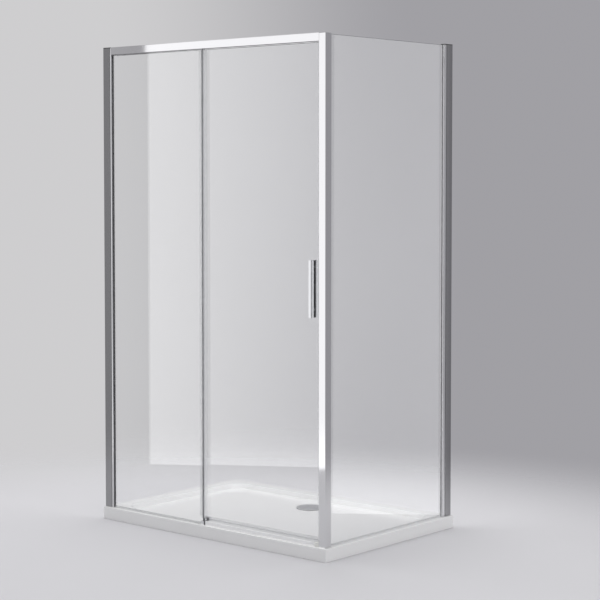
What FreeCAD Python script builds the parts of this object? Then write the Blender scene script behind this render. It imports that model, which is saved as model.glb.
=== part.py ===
import FreeCAD, Part
import math
import os

# Corner shower enclosure on a low tray: a fixed panel and a sliding door in front, a fixed side panel.
# X runs along the front from the left wall to the corner post, Y from the front to the back wall, Z is up.
# The origin is the middle of the tray's underside. All lengths are in millimetres.

Vector = FreeCAD.Vector

# Overall
tray_length = 1200.0
tray_width = 800.0
tray_height = 50.0
enclosure_height = 1890.0
frame_inset = 13.0

# Clearances
fit_gap = 0.3
running_gap = 0.05
track_gap = 0.1
slide_gap = 0.4
overrun = 1.0

# Tray
tray_corner_radius = 3.0
tray_edge_radius = 2.5
tray_foot_radius = 1.5
rim_width = 60.0
basin_depth = 18.0
basin_fall = 4.0
basin_corner_radius = 70.0
basin_step_width = 16.0
basin_rim_radius = 4.0
basin_cove_radius = 8.0
skirt_width = 45.0
rib_width = 16.0
pocket_height = 12.0
pocket_rows = 4
pocket_columns = 6

# Waste
waste_from_back = 187.0
waste_hole_radius = 45.0
waste_boss_wall = 20.0
waste_land_flat = 10.0
waste_land_margin = 8.0
waste_flange_radius = 57.0
waste_flange_thickness = 2.0
waste_seal_thickness = 1.0
waste_tail_gap = 1.0
waste_seat_radius = 39.0
waste_seat_depth = 10.0
waste_outlet_radius = 34.0
waste_tail_lift = 3.0
waste_cover_radius = 56.0
waste_cover_thickness = 2.5
waste_cover_crown = 1.0
waste_cover_bevel = 9.0
waste_foot_height = 2.0
waste_foot_radius = 4.0
waste_foot_count = 4
waste_plug_depth = 8.0
waste_plug_wall = 3.0
waste_plug_gap = 1.0

# Glass and its pockets
glass_thickness = 6.0
glass_setback = 7.5
glass_lift = 4.0
glass_edge_gap = 1.0
pocket_mouth = 9.0
pocket_depth = 14.0
fixed_panel_reach = 554.0
side_glass_drop = 4.0

# Wall channels and jambs
channel_depth = 36.0
channel_wall = 1.5
channel_edge_radius = 0.6
wall_hole_radius = 2.75
wall_hole_count = 4
wall_hole_ends = 103.25
jamb_wall = 1.5
jamb_lip = 2.0
jamb_edge_radius = 3.0
jamb_back_gap = 4.0
jamb_reach_left = 8.0
jamb_reach_right = 14.0
cap_thickness = 3.5
cap_plug_depth = 9.0
jamb_screw_radius = 1.75
jamb_screw_depth = 16.0
jamb_screw_length = 8.0
jamb_screw_head_radius = 3.4
jamb_screw_head = 2.0
jamb_screw_ends = 110.0
jamb_screw_count = 3
screw_cover_radius = 5.5
screw_cover_height = 3.6
screw_cover_bevel = 1.2

# Gaskets and seals
gasket_bite = 7.0
gasket_head = 1.9
gasket_proud = 2.2
gasket_lip = 0.9
seal_wall = 1.0
seal_grip = 10.0
bottom_seal_height = 12.0
pane_seal_height = 7.0
edge_fin_reach = 10.0
edge_fin_gap = 1.4
magnet_head = 6.0
magnet_width = 10.0
wiper_width = 1.5

# Corner post
post_width = 32.0
post_depth = 34.0
post_wall = 1.8
post_corner_radius = 1.2
post_cap_thickness = 2.0
post_plug_depth = 10.0
magnet_slot_depth = 4.0

# Header
header_height = 30.0
header_depth = 47.0
header_wall = 2.0
header_leg_wall = 1.5
header_drip_wall = 1.2
header_drip_overlap = 1.5
header_rear_drop = 3.0
header_edge_radius = 1.2
header_glass_bite = 18.0
track_bead_width = 4.0
track_bead_height = 2.0
track_bead_radius = 0.8
bracket_thickness = 3.2
bracket_arm_length = 45.0
bracket_arm_height = 5.4
bracket_arm_width = 9.6
bracket_tab_width = 30.0
bracket_tab_height = 22.0
bracket_tab_margin = 3.0
bracket_screw_rise = 6.0
bracket_screw_radius = 1.9
bracket_screw_head_radius = 3.4
bracket_screw_head = 1.8
bracket_screw_length = 12.0
end_cap_thickness = 2.0
stop_length = 18.0
stop_height = 16.0

# Threshold and door guide
threshold_height = 15.0
threshold_depth = 34.0
threshold_setback = 2.0
threshold_fall = 1.0
threshold_wall = 1.8
threshold_edge_radius = 2.0
threshold_block_length = 24.0
threshold_block_inset = 0.5
guide_width = 15.0
guide_bite = 6.0
guide_depth = 45.0
guide_base = 10.0
guide_front_height = 14.0
guide_engagement = 5.0
guide_liner_wall = 1.5
guide_corner_radius = 3.0
guide_screw_radius = 2.0
guide_screw_height = 10.0
guide_screw_sink = 0.6

# Door
door_setback = 23.0
door_overlap = 18.0
door_edge_gap = 12.0
door_floor_gap = 3.2
door_travel = 475.0
glass_hole_radius = 6.0
hanger_from_edge = 80.0
hanger_length = 56.0
hanger_height = 20.0
hanger_thickness = 3.0
hanger_corner_radius = 4.0
hanger_pad_thickness = 0.7
hanger_bolt_pitch = 34.0
hanger_bolt_radius = 2.5
hanger_bolt_head_radius = 4.5
hanger_bolt_head = 2.4
hanger_socket_radius = 1.7
hanger_socket_depth = 1.4
bush_flange_radius = 8.0
bush_flange = 2.5

# Rollers
roller_width = 7.0
roller_rear_gap = 2.5
roller_flange_radius = 9.5
roller_groove_radius = 8.0
roller_groove_taper = 0.3
roller_edge_bevel = 0.5
bearing_radius = 5.5
bearing_race = 0.9
bearing_recess = 0.6
axle_radius = 2.5
axle_collar_radius = 3.4
axle_side_gap = 0.2
axle_head_radius = 4.2
axle_head = 1.2

# Handle
handle_height = 214.0
handle_centre_height = 952.0
handle_width = 14.0
handle_outer_depth = 17.0
handle_inner_depth = 14.0
handle_from_edge = 28.0
handle_gasket = 2.5
handle_gasket_inset = 1.0
handle_edge_radius = 2.0
handle_end_radius = 0.8
handle_screw_ends = 27.0
handle_screw_radius = 2.0
handle_screw_bite = 11.0
handle_screw_head_radius = 4.2
handle_screw_head = 4.0
handle_sink_depth = 6.0

# Main planes and levels
left_wall_x = -tray_length / 2
right_edge_x = tray_length / 2
front_edge_y = -tray_width / 2
back_wall_y = tray_width / 2
front_plane = front_edge_y + frame_inset
side_plane = right_edge_x - frame_inset
tray_top = tray_height
frame_top = tray_top + enclosure_height
floor_level = tray_top - basin_depth
waste_level = floor_level - basin_fall
waste_y = back_wall_y - waste_from_back

# Glass planes, measured inwards from the frame's outer face
glass_centre = glass_setback + glass_thickness / 2
glass_back = glass_setback + glass_thickness
door_centre = door_setback + glass_thickness / 2
door_back = door_setback + glass_thickness
pocket_near = glass_centre - pocket_mouth / 2
pocket_far = glass_centre + pocket_mouth / 2
glass_half = glass_thickness / 2
mouth_half = pocket_mouth / 2

# Frame positions along the front and the side
jamb_mouth_left = channel_depth + jamb_reach_left
jamb_mouth_right = channel_depth + jamb_reach_right
header_left_x = left_wall_x + jamb_mouth_left
post_left_x = side_plane - post_width
header_bottom = frame_top - header_height
header_rear_bottom = header_bottom - header_rear_drop
fixed_edge_x = left_wall_x + fixed_panel_reach
glass_bottom = tray_top + glass_lift
glass_top = header_bottom + header_glass_bite
channel_height = enclosure_height - cap_thickness
jamb_half = glass_centre - channel_wall - fit_gap

# Threshold, guide and door positions
threshold_top = tray_top + threshold_height
guide_left_x = fixed_edge_x - guide_bite
guide_right_x = guide_left_x + guide_width
door_bottom = threshold_top + door_floor_gap
door_left_x = fixed_edge_x - door_overlap
door_right_x = post_left_x - door_edge_gap
guide_top = door_bottom + guide_engagement
header_lip = door_back + hanger_pad_thickness + hanger_thickness + slide_gap
lip_top = header_rear_bottom + header_wall
track_top = lip_top + track_bead_height
axle_level = track_top + track_gap + roller_groove_radius
roller_centre = header_depth - header_wall - roller_rear_gap - roller_width / 2
hanger_xs = (door_left_x + hanger_from_edge, door_right_x - hanger_from_edge)
handle_x = door_right_x - handle_from_edge - handle_width / 2
handle_level = tray_top + handle_centre_height
handle_screw_levels = (
    handle_level - handle_height / 2 + handle_screw_ends,
    handle_level + handle_height / 2 - handle_screw_ends,
)


# Helpers

def rounded_wire(corners, place):
    """Closed wire through corners (a, b) or (a, b, radius); place maps a and b into space."""
    turns = []
    count = len(corners)
    for index, corner in enumerate(corners):
        here = Vector(corner[0], corner[1], 0)
        radius = corner[2] if len(corner) > 2 else 0
        if radius == 0:
            turns.append((here, here, here))
            continue
        last = corners[index - 1]
        following = corners[(index + 1) % count]
        into = (Vector(last[0], last[1], 0) - here).normalize()
        out = (Vector(following[0], following[1], 0) - here).normalize()
        half_angle = into.getAngle(out) / 2
        reach = radius / math.tan(half_angle)
        bisector = (into + out).normalize()
        middle = here + bisector * (radius / math.sin(half_angle) - radius)
        turns.append((here + into * reach, middle, here + out * reach))
    edges = []
    for index, (start, middle, end) in enumerate(turns):
        if start != end:
            arc_points = [place(point.x, point.y) for point in (start, middle, end)]
            edges.append(Part.Arc(*arc_points).toShape())
        target = turns[(index + 1) % count][0]
        edges.append(Part.LineSegment(place(end.x, end.y), place(target.x, target.y)).toShape())
    return Part.Wire(edges)


def prism(corners, place, travel, holes=()):
    """Solid swept straight along travel from an outline with optional hollow outlines inside it."""
    wires = [rounded_wire(corners, place)]
    wires += [rounded_wire(hole, place) for hole in holes]
    return Part.makeFace(wires, "Part::FaceMakerBullseye").extrude(travel)


def box(xs, ys, zs):
    """Block between two limits on each axis."""
    return Part.makeBox(xs[1] - xs[0], ys[1] - ys[0], zs[1] - zs[0], Vector(xs[0], ys[0], zs[0]))


def rod(radius, start, end):
    """Round bar between two points."""
    run = end - start
    return Part.makeCylinder(radius, run.Length, start, run)


def turned(corners, middle, axis, radial):
    """Ring turned about an axis from a section of radius and place along the axis."""
    wire = rounded_wire(corners, lambda radius, place: middle + radial * radius + axis * place)
    return Part.Face(wire).revolve(middle, axis, 360)


def group(solids):
    """Separate solids kept together as one node."""
    return Part.makeCompound(list(solids))


def joined(solids):
    """One solid from pieces that meet or overlap."""
    whole = solids[0].multiFuse(list(solids[1:]))
    return whole.removeSplitter()


def rounded_at_level(solid, level, radius):
    """The solid with its edges at one height rounded."""
    chosen = []
    for edge in solid.Edges:
        if all(abs(vertex.Z - level) < Part.Precision.confusion() for vertex in edge.Vertexes):
            chosen.append(edge)
    return solid.makeFillet(radius, chosen)


def left_place(depth, across):
    """Point of the left wall profile: depth from the wall, across from the glass centre."""
    return Vector(left_wall_x + depth, front_plane + glass_centre + across, tray_top)


def right_place(depth, across):
    """Point of the right wall profile: depth from the back wall, across from the glass centre."""
    return Vector(side_plane - glass_centre - across, back_wall_y - depth, tray_top)


def post_place(inward, depth):
    """Point of the post's section: inward from its side face, depth from its front face."""
    return Vector(side_plane - inward, front_plane + depth, tray_top)


def post_glass_place(depth, across):
    """Point of the post's glass pocket: depth from the front face, across from the glass centre."""
    return Vector(side_plane - glass_centre - across, front_plane + depth, tray_top)


def rail_place(depth, level):
    """Point of a front rail's section at the header's left end."""
    return Vector(header_left_x, front_plane + depth, level)


def header_glass_place(drop, across):
    """Point of the header's glass pocket: drop from its top, across from the glass centre."""
    return Vector(header_left_x, front_plane + glass_centre + across, frame_top - drop)


def up(height):
    """Upward sweep of a length."""
    return Vector(0, 0, height)


def along(length):
    """Sweep along the front."""
    return Vector(length, 0, 0)


# Tray and waste

def rounded_rectangle(length, width, radius, middle_y, level):
    """Rectangle with rounded corners, flat at one level."""
    half_length = length / 2
    half_width = width / 2
    corners = [
        (-half_length, -half_width, radius),
        (half_length, -half_width, radius),
        (half_length, half_width, radius),
        (-half_length, half_width, radius),
    ]
    return rounded_wire(corners, lambda x, y: Vector(x, middle_y + y, level))


def tray_underside():
    """Pockets between the ribs under the tray, kept clear of the boss round the waste."""
    pitch_x = (tray_length - 2 * skirt_width + rib_width) / pocket_columns
    pitch_y = (tray_width - 2 * skirt_width + rib_width) / pocket_rows
    pockets = []
    for column in range(pocket_columns):
        for row in range(pocket_rows):
            x = left_wall_x + skirt_width + column * pitch_x
            y = front_edge_y + skirt_width + row * pitch_y
            xs = (x, x + pitch_x - rib_width)
            ys = (y, y + pitch_y - rib_width)
            pockets.append(box(xs, ys, (0, pocket_height)))
    boss_radius = waste_hole_radius + waste_boss_wall
    boss = rod(boss_radius, Vector(0, waste_y, -overrun), Vector(0, waste_y, pocket_height + overrun))
    return group(pockets).cut(boss)


def shower_tray():
    """Low tray with a flat rim, a basin that falls to the waste and a ribbed underside."""
    outline = rounded_rectangle(tray_length, tray_width, tray_corner_radius, 0, 0)
    body = rounded_at_level(Part.Face(outline).extrude(up(tray_height)), tray_top, tray_edge_radius)
    body = rounded_at_level(body, 0, tray_foot_radius)
    basin_length = tray_length - 2 * rim_width
    basin_width = tray_width - 2 * rim_width
    floor_length = basin_length - 2 * basin_step_width
    floor_width = basin_width - 2 * basin_step_width
    floor_radius = basin_corner_radius - basin_step_width
    rim_outline = rounded_rectangle(basin_length, basin_width, basin_corner_radius, 0, tray_top)
    floor_outline = rounded_rectangle(floor_length, floor_width, floor_radius, 0, floor_level)
    pan = Part.makeLoft([rim_outline, floor_outline], True, True)
    body = body.cut(rounded_at_level(pan, floor_level, basin_cove_radius))
    inner_rim = [edge for edge in body.Edges if is_rim_edge(edge)]
    body = body.makeFillet(basin_rim_radius, inner_rim)
    land_radius = waste_flange_radius + waste_land_margin
    land_size = 2 * land_radius + waste_land_flat
    fall_outline = rounded_rectangle(
        floor_length - 2 * basin_cove_radius,
        floor_width - 2 * basin_cove_radius,
        floor_radius - basin_cove_radius,
        0,
        floor_level,
    )
    land_outline = rounded_rectangle(land_size, land_size, land_radius, waste_y, waste_level)
    body = body.cut(Part.makeLoft([fall_outline, land_outline], True, True))
    recess_level = waste_level - waste_flange_thickness - waste_seal_thickness
    recess_radius = waste_flange_radius + fit_gap
    recess = rod(recess_radius, Vector(0, waste_y, recess_level), Vector(0, waste_y, tray_top))
    hole = rod(waste_hole_radius, Vector(0, waste_y, -overrun), Vector(0, waste_y, tray_top))
    return body.cut(recess).cut(hole).cut(tray_underside())


def is_rim_edge(edge):
    """True for the edges where the flat rim turns down into the basin."""
    half_length = tray_length / 2 - rim_width
    half_width = tray_width / 2 - rim_width
    for vertex in edge.Vertexes:
        inside = abs(vertex.X) < half_length + overrun and abs(vertex.Y) < half_width + overrun
        if abs(vertex.Z - tray_top) > Part.Precision.confusion() or not inside:
            return False
    return True


def waste_flange():
    """Ring in the tray's recess with a stepped tail: a seat for the cover above, the outlet below."""
    tail = waste_hole_radius - waste_tail_gap
    plate_low = waste_level - waste_flange_thickness
    ledge = waste_level - waste_seat_depth
    corners = [
        (waste_outlet_radius, waste_tail_lift), (tail, waste_tail_lift), (tail, plate_low),
        (waste_flange_radius, plate_low), (waste_flange_radius, waste_level),
        (waste_seat_radius, waste_level), (waste_seat_radius, ledge), (waste_outlet_radius, ledge),
    ]
    return turned(corners, Vector(0, waste_y, 0), Vector(0, 0, 1), Vector(1, 0, 0))


def waste_seal():
    """Flat rubber ring under the flange."""
    high = waste_level - waste_flange_thickness
    low = high - waste_seal_thickness
    ring = rod(waste_flange_radius, Vector(0, waste_y, low), Vector(0, waste_y, high))
    return ring.cut(rod(waste_hole_radius, Vector(0, waste_y, 0), Vector(0, waste_y, tray_top)))


def waste_cover():
    """Lid that falls to its edge, on small feet, with a ring below that centres it in the flange."""
    low = waste_level + waste_foot_height
    edge_top = low + waste_cover_thickness
    top = edge_top + waste_cover_crown
    plug_radius = waste_seat_radius - waste_plug_gap
    plug_inner = plug_radius - waste_plug_wall
    plug_low = waste_level - waste_plug_depth
    corners = [
        (0, low), (plug_inner, low), (plug_inner, plug_low), (plug_radius, plug_low), (plug_radius, low),
        (waste_cover_radius, low), (waste_cover_radius, edge_top),
        (waste_cover_radius - waste_cover_bevel, top), (0, top),
    ]
    pieces = [turned(corners, Vector(0, waste_y, 0), Vector(0, 0, 1), Vector(1, 0, 0))]
    foot_circle = (waste_seat_radius + waste_flange_radius) / 2
    for index in range(waste_foot_count):
        angle = 2 * math.pi * index / waste_foot_count
        x = foot_circle * math.cos(angle)
        y = waste_y + foot_circle * math.sin(angle)
        pieces.append(rod(waste_foot_radius, Vector(x, y, waste_level), Vector(x, y, low)))
    return joined(pieces)


# Wall profiles

def wall_channel(place, into_wall):
    """U-shaped wall profile, drilled along its base for the wall screws."""
    half = glass_centre
    inner = half - channel_wall
    radius = channel_edge_radius
    corners = [
        (0, -half), (channel_depth, -half, radius), (channel_depth, -inner, radius), (channel_wall, -inner),
        (channel_wall, inner), (channel_depth, inner, radius), (channel_depth, half, radius), (0, half),
    ]
    channel = prism(corners, place, up(channel_height))
    step = (channel_height - 2 * wall_hole_ends) / (wall_hole_count - 1)
    for index in range(wall_hole_count):
        mouth = place(0, 0) + up(wall_hole_ends + index * step) + into_wall * overrun
        end = mouth - into_wall * (channel_wall + 2 * overrun)
        channel = channel.cut(rod(wall_hole_radius, mouth, end))
    return channel


def jamb_corners(mouth):
    """Section of the glazing jamb: open towards the wall, with a web and two lips that hold the glass."""
    rear = channel_wall + jamb_back_gap
    inner = jamb_half - jamb_wall
    stop = mouth - pocket_depth
    radius = jamb_edge_radius
    one_side = [
        (stop - jamb_wall, inner), (rear, inner), (rear, jamb_half), (mouth, jamb_half, radius),
        (mouth, mouth_half), (mouth - jamb_lip, mouth_half), (mouth - jamb_lip, inner), (stop, inner),
    ]
    other_side = [(corner[0], -corner[1]) + tuple(corner[2:]) for corner in reversed(one_side)]
    return one_side + other_side


def jamb(place, mouth, inwards):
    """Glazing jamb that slides in the wall channel, drilled for its fixing screws."""
    profile = prism(jamb_corners(mouth), place, up(channel_height))
    hole_radius = jamb_screw_radius + running_gap
    for spot in jamb_screw_spots(place):
        profile = profile.cut(rod(hole_radius, spot, spot - inwards * jamb_screw_length))
    return profile


def jamb_screw_spots(place):
    """Where each fixing screw meets the channel's inner face."""
    step = (channel_height - 2 * jamb_screw_ends) / (jamb_screw_count - 1)
    base = place(jamb_screw_depth, glass_centre)
    return [base + up(jamb_screw_ends + index * step) for index in range(jamb_screw_count)]


def drilled_channel(place, into_wall, inwards):
    """Wall channel with the holes of the jamb screws in its inner flange."""
    channel = wall_channel(place, into_wall)
    hole_radius = jamb_screw_radius + running_gap
    for spot in jamb_screw_spots(place):
        start = spot + inwards * overrun
        channel = channel.cut(rod(hole_radius, start, start - inwards * jamb_screw_length))
    return channel


def jamb_screws(place, inwards):
    """Screws through the channel's inner flange into the jamb."""
    screws = []
    for spot in jamb_screw_spots(place):
        shank = rod(jamb_screw_radius, spot - inwards * jamb_screw_length, spot)
        head = rod(jamb_screw_head_radius, spot, spot + inwards * jamb_screw_head)
        screws.append(joined([shank, head]))
    return group(screws)


def screw_covers(place, inwards):
    """Snap-on covers over the screw heads."""
    cavity_radius = jamb_screw_head_radius + fit_gap
    ceiling = jamb_screw_head + fit_gap
    shoulder = screw_cover_height - screw_cover_bevel
    corners = [
        (cavity_radius, 0), (screw_cover_radius, 0), (screw_cover_radius, shoulder),
        (screw_cover_radius - screw_cover_bevel, screw_cover_height), (0, screw_cover_height), (0, ceiling),
        (cavity_radius, ceiling),
    ]
    return group(turned(corners, spot, inwards, Vector(0, 0, 1)) for spot in jamb_screw_spots(place))


def channel_cap(place, mouth):
    """Cap on a wall profile, with a plug down into the jamb."""
    half = glass_centre
    lift = up(channel_height)
    plate = prism(
        [(0, -half), (mouth, -half), (mouth, half), (0, half)],
        lambda depth, across: place(depth, across) + lift,
        up(cap_thickness),
    )
    near = channel_wall + jamb_back_gap
    far = mouth - pocket_depth - jamb_wall - fit_gap
    plug_half = jamb_half - jamb_wall - fit_gap
    drop = up(channel_height - cap_plug_depth)
    plug = prism(
        [(near, -plug_half), (far, -plug_half), (far, plug_half), (near, plug_half)],
        lambda depth, across: place(depth, across) + drop,
        up(cap_plug_depth),
    )
    return joined([plate, plug])


def gasket_pair(place, mouth, travel):
    """Two rubber strips that wedge the glass in a pocket and stand out of its mouth."""
    stem = [(mouth - gasket_bite, glass_half), (mouth - gasket_bite, mouth_half), (mouth, mouth_half)]
    head = [
        (mouth, glass_half + gasket_head), (mouth + gasket_proud, glass_half + gasket_lip),
        (mouth + gasket_proud, glass_half),
    ]
    near_side = stem + head
    far_side = [(depth, -across) for depth, across in near_side]
    return group([prism(near_side, place, travel), prism(far_side, place, travel)])


def header_gasket():
    """Strips in the header's glass pocket between the jamb's gasket and the edge seal."""
    start = along(gasket_proud)
    run = along(fixed_edge_x - seal_grip - header_left_x - gasket_proud)
    return gasket_pair(lambda drop, across: header_glass_place(drop, across) + start, header_height, run)


# Corner post

def post_outline():
    """Outer outline of the post with its glass pocket and the slot of the magnet strip."""
    slot_low = door_centre - magnet_width / 2
    slot_high = door_centre + magnet_width / 2
    slot_floor = post_width - magnet_slot_depth
    pocket_floor = post_depth - pocket_depth
    radius = post_corner_radius
    return [
        (0, 0, radius), (post_width, 0, radius), (post_width, slot_low), (slot_floor, slot_low),
        (slot_floor, slot_high), (post_width, slot_high), (post_width, post_depth, radius),
        (pocket_far, post_depth), (pocket_far, pocket_floor), (pocket_near, pocket_floor),
        (pocket_near, post_depth), (0, post_depth, radius),
    ]


def post_hollow(clearance):
    """Outline of the post's hollow, drawn in by a clearance."""
    wall = post_wall + clearance
    slot_low = door_centre - magnet_width / 2 - wall
    slot_floor = post_width - magnet_slot_depth - wall
    pocket_floor = post_depth - pocket_depth - wall
    return [
        (wall, wall), (post_width - wall, wall), (post_width - wall, slot_low), (slot_floor, slot_low),
        (slot_floor, post_depth - wall), (pocket_far + wall, post_depth - wall),
        (pocket_far + wall, pocket_floor), (wall, pocket_floor),
    ]


def corner_post():
    """Hollow square post that takes the side glass, the header and the door's magnet strip."""
    height = enclosure_height - post_cap_thickness
    post = prism(post_outline(), post_place, up(height), [post_hollow(0)])
    return drilled(post, right_bracket_screws())


def post_cap():
    """Cap on the post with a plug in its hollow."""
    height = enclosure_height - post_cap_thickness
    corners = [
        (0, 0, post_corner_radius), (post_width, 0, post_corner_radius),
        (post_width, post_depth, post_corner_radius), (0, post_depth, post_corner_radius),
    ]
    plate = prism(corners, lambda a, b: post_place(a, b) + up(height), up(post_cap_thickness))
    drop = up(height - post_plug_depth)
    plug = prism(post_hollow(fit_gap), lambda a, b: post_place(a, b) + drop, up(post_plug_depth))
    return joined([plate, plug])


def post_magnet_strip():
    """Magnet strip in the post's slot that meets the door's magnet."""
    reach = door_edge_gap - seal_wall - magnet_head - fit_gap
    xs = (post_left_x - reach, post_left_x + magnet_slot_depth)
    ys = (front_plane + door_centre - magnet_width / 2, front_plane + door_centre + magnet_width / 2)
    return box(xs, ys, (threshold_top, header_rear_bottom - fit_gap))


# Header

def header_rail():
    """Header section: visible front, glass pocket with a drip lip behind it, and the roller track."""
    leg = pocket_far + header_leg_wall
    leg_foot = header_bottom + header_wall
    drip_back = leg + header_drip_wall
    drip_top = leg_foot + header_drip_overlap
    ceiling = frame_top - header_wall
    rear = header_depth - header_wall
    bead_near = roller_centre - track_bead_width / 2
    bead_far = roller_centre + track_bead_width / 2
    edge = header_edge_radius
    corners = [
        (0, header_bottom, edge), (0, frame_top, edge), (header_depth, frame_top, edge),
        (header_depth, header_rear_bottom, edge), (header_lip, header_rear_bottom), (header_lip, lip_top),
        (bead_near, lip_top), (bead_near, track_top, track_bead_radius),
        (bead_far, track_top, track_bead_radius), (bead_far, lip_top), (rear, lip_top), (rear, ceiling),
        (leg, ceiling), (leg, drip_top), (drip_back, drip_top), (drip_back, header_rear_bottom),
        (leg, header_rear_bottom), (leg, leg_foot), (pocket_far, leg_foot),
        (pocket_far, ceiling), (pocket_near, ceiling), (pocket_near, header_bottom),
    ]
    chamber_far = pocket_near - header_leg_wall
    chamber = [
        (header_wall, header_bottom + header_wall), (chamber_far, header_bottom + header_wall),
        (chamber_far, ceiling), (header_wall, ceiling),
    ]
    rail = prism(corners, rail_place, along(post_left_x - header_left_x), [chamber])
    return drilled(rail, header_arm_screws())


def bracket_near_y():
    """Front face of the header brackets, just behind the wall channel."""
    return front_plane + 2 * glass_centre + fit_gap


def bracket_arm(xs):
    """Flat arm of a bracket under the header's top."""
    ceiling = frame_top - header_wall
    near = bracket_near_y()
    return box(xs, (near, near + bracket_arm_width), (ceiling - bracket_arm_height, ceiling))


def header_arm_screws():
    """Axes of the upright screws that hold the header to its brackets, each from low to high."""
    low = frame_top - header_wall - bracket_arm_height
    y = bracket_near_y() + bracket_arm_width / 2
    xs = (header_left_x + bracket_arm_length / 2, post_left_x - bracket_arm_length / 2)
    return [(Vector(x, y, low), Vector(x, y, frame_top - header_wall / 2)) for x in xs]


def left_bracket_screws():
    """Axis of the screw from the left bracket into the wall channel's inner flange."""
    x = left_wall_x + channel_depth / 2
    level = frame_top - header_wall - bracket_tab_height + bracket_screw_rise
    y = bracket_near_y() + bracket_thickness
    return [(Vector(x, y, level), Vector(x, y - bracket_screw_length, level))]


def right_bracket_screws():
    """Axis of the screw from the right bracket through the magnet slot into the post."""
    level = frame_top - header_wall - bracket_tab_height + bracket_screw_rise
    start = Vector(post_left_x - bracket_thickness, front_plane + door_centre, level)
    return [(start, start + along(bracket_screw_length))]


def header_bracket_left():
    """Angle bracket from the wall channel's inner flange to the header's top."""
    near = bracket_near_y()
    ceiling = frame_top - header_wall
    tab_xs = (left_wall_x + bracket_tab_margin, left_wall_x + bracket_tab_margin + bracket_tab_width)
    tab = box(tab_xs, (near, near + bracket_thickness), (ceiling - bracket_tab_height, ceiling))
    arm = bracket_arm((tab_xs[0], header_left_x + bracket_arm_length))
    return drilled_bracket(joined([tab, arm]), left_bracket_screws() + header_arm_screws()[:1])


def header_bracket_right():
    """Angle bracket from the post's inner face to the header's top."""
    ceiling = frame_top - header_wall
    arm = bracket_arm((post_left_x - bracket_arm_length, post_left_x))
    ys = (bracket_near_y(), front_plane + post_depth - post_corner_radius)
    tab = box((post_left_x - bracket_thickness, post_left_x), ys, (ceiling - bracket_tab_height, ceiling))
    return drilled_bracket(joined([tab, arm]), right_bracket_screws() + header_arm_screws()[1:])


def drilled(piece, axes):
    """Piece with a hole for each bracket screw."""
    for start, end in axes:
        piece = piece.cut(rod(bracket_screw_radius + running_gap, start, end))
    return piece


def drilled_bracket(bracket, axes):
    """Bracket with a hole and a countersink for each screw."""
    for start, end in axes:
        bracket = bracket.cut(countersink(start, end, running_gap))
    return drilled(bracket, axes)


def countersink(start, end, clearance):
    """Cone of a countersunk head, flush at the start of its screw."""
    run = (end - start).normalize()
    wide = bracket_screw_head_radius + clearance
    narrow = bracket_screw_radius + clearance
    return Part.makeCone(wide, narrow, bracket_screw_head, start, run)


def bracket_screws():
    """Countersunk screws of both header brackets."""
    axes = left_bracket_screws() + right_bracket_screws() + header_arm_screws()
    screws = []
    for start, end in axes:
        screws.append(joined([rod(bracket_screw_radius, start, end), countersink(start, end, 0)]))
    return group(screws)


def header_end_caps():
    """End covers for the part of the header that stands behind the post and the wall profile."""
    ys = (front_plane + post_depth + fit_gap, front_plane + header_depth)
    zs = (header_rear_bottom, frame_top)
    left = box((header_left_x - end_cap_thickness, header_left_x), ys, zs)
    right = box((post_left_x, post_left_x + end_cap_thickness), ys, zs)
    return group([left, right])


def door_stop(start_x):
    """Rubber block that straddles the track and stops a roller."""
    near = header_lip + slide_gap
    rear = header_depth - header_wall
    bead_near = roller_centre - track_bead_width / 2 - fit_gap
    bead_far = roller_centre + track_bead_width / 2 + fit_gap
    bridge = track_top + fit_gap
    high = lip_top + stop_height
    corners = [
        (near, lip_top), (bead_near, lip_top), (bead_near, bridge), (bead_far, bridge), (bead_far, lip_top),
        (rear, lip_top), (rear, high), (near, high),
    ]
    shift = along(start_x - header_left_x)
    return prism(corners, lambda depth, level: rail_place(depth, level) + shift, along(stop_length))


def door_stop_left():
    """Stop met by the left roller when the door is fully open."""
    return door_stop(hanger_xs[0] - door_travel - roller_flange_radius - fit_gap - stop_length)


def door_stop_right():
    """Stop met by the right roller when the door is shut."""
    return door_stop(hanger_xs[1] + roller_flange_radius + fit_gap)


# Fixed glass and side glass

def fixed_glass():
    """Fixed front panel from the jamb's pocket to its free edge."""
    left = left_wall_x + jamb_mouth_left - pocket_depth + glass_edge_gap
    ys = (front_plane + glass_setback, front_plane + glass_back)
    return box((left, fixed_edge_x), ys, (glass_bottom, glass_top))


def side_glass():
    """Side panel from the post's pocket to the right jamb's pocket."""
    front = front_plane + post_depth - pocket_depth + glass_edge_gap
    back = back_wall_y - jamb_mouth_right + pocket_depth - glass_edge_gap
    xs = (side_plane - glass_back, side_plane - glass_setback)
    return box(xs, (front, back), (glass_bottom, frame_top - side_glass_drop))


def bottom_seal_corners():
    """Section of the strip under a fixed pane: a foot below the glass and a lip each side."""
    outer = glass_half + seal_wall
    high = tray_top + pane_seal_height
    return [
        (-outer, tray_top), (outer, tray_top), (outer, high), (glass_half, high),
        (glass_half, glass_bottom), (-glass_half, glass_bottom), (-glass_half, high), (-outer, high),
    ]


def fixed_bottom_seal():
    """Seal under the fixed panel from the jamb's gasket to the guide."""
    start = header_left_x + gasket_proud
    y = front_plane + glass_centre
    return prism(bottom_seal_corners(), lambda a, z: Vector(start, y + a, z), along(guide_left_x - start))


def side_bottom_seal():
    """Seal under the side panel from the post's gasket to the jamb's gasket."""
    start = front_plane + post_depth + gasket_proud
    end = back_wall_y - jamb_mouth_right - gasket_proud
    x = side_plane - glass_centre
    return prism(bottom_seal_corners(), lambda a, z: Vector(x + a, start, z), Vector(0, end - start, 0))


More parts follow.
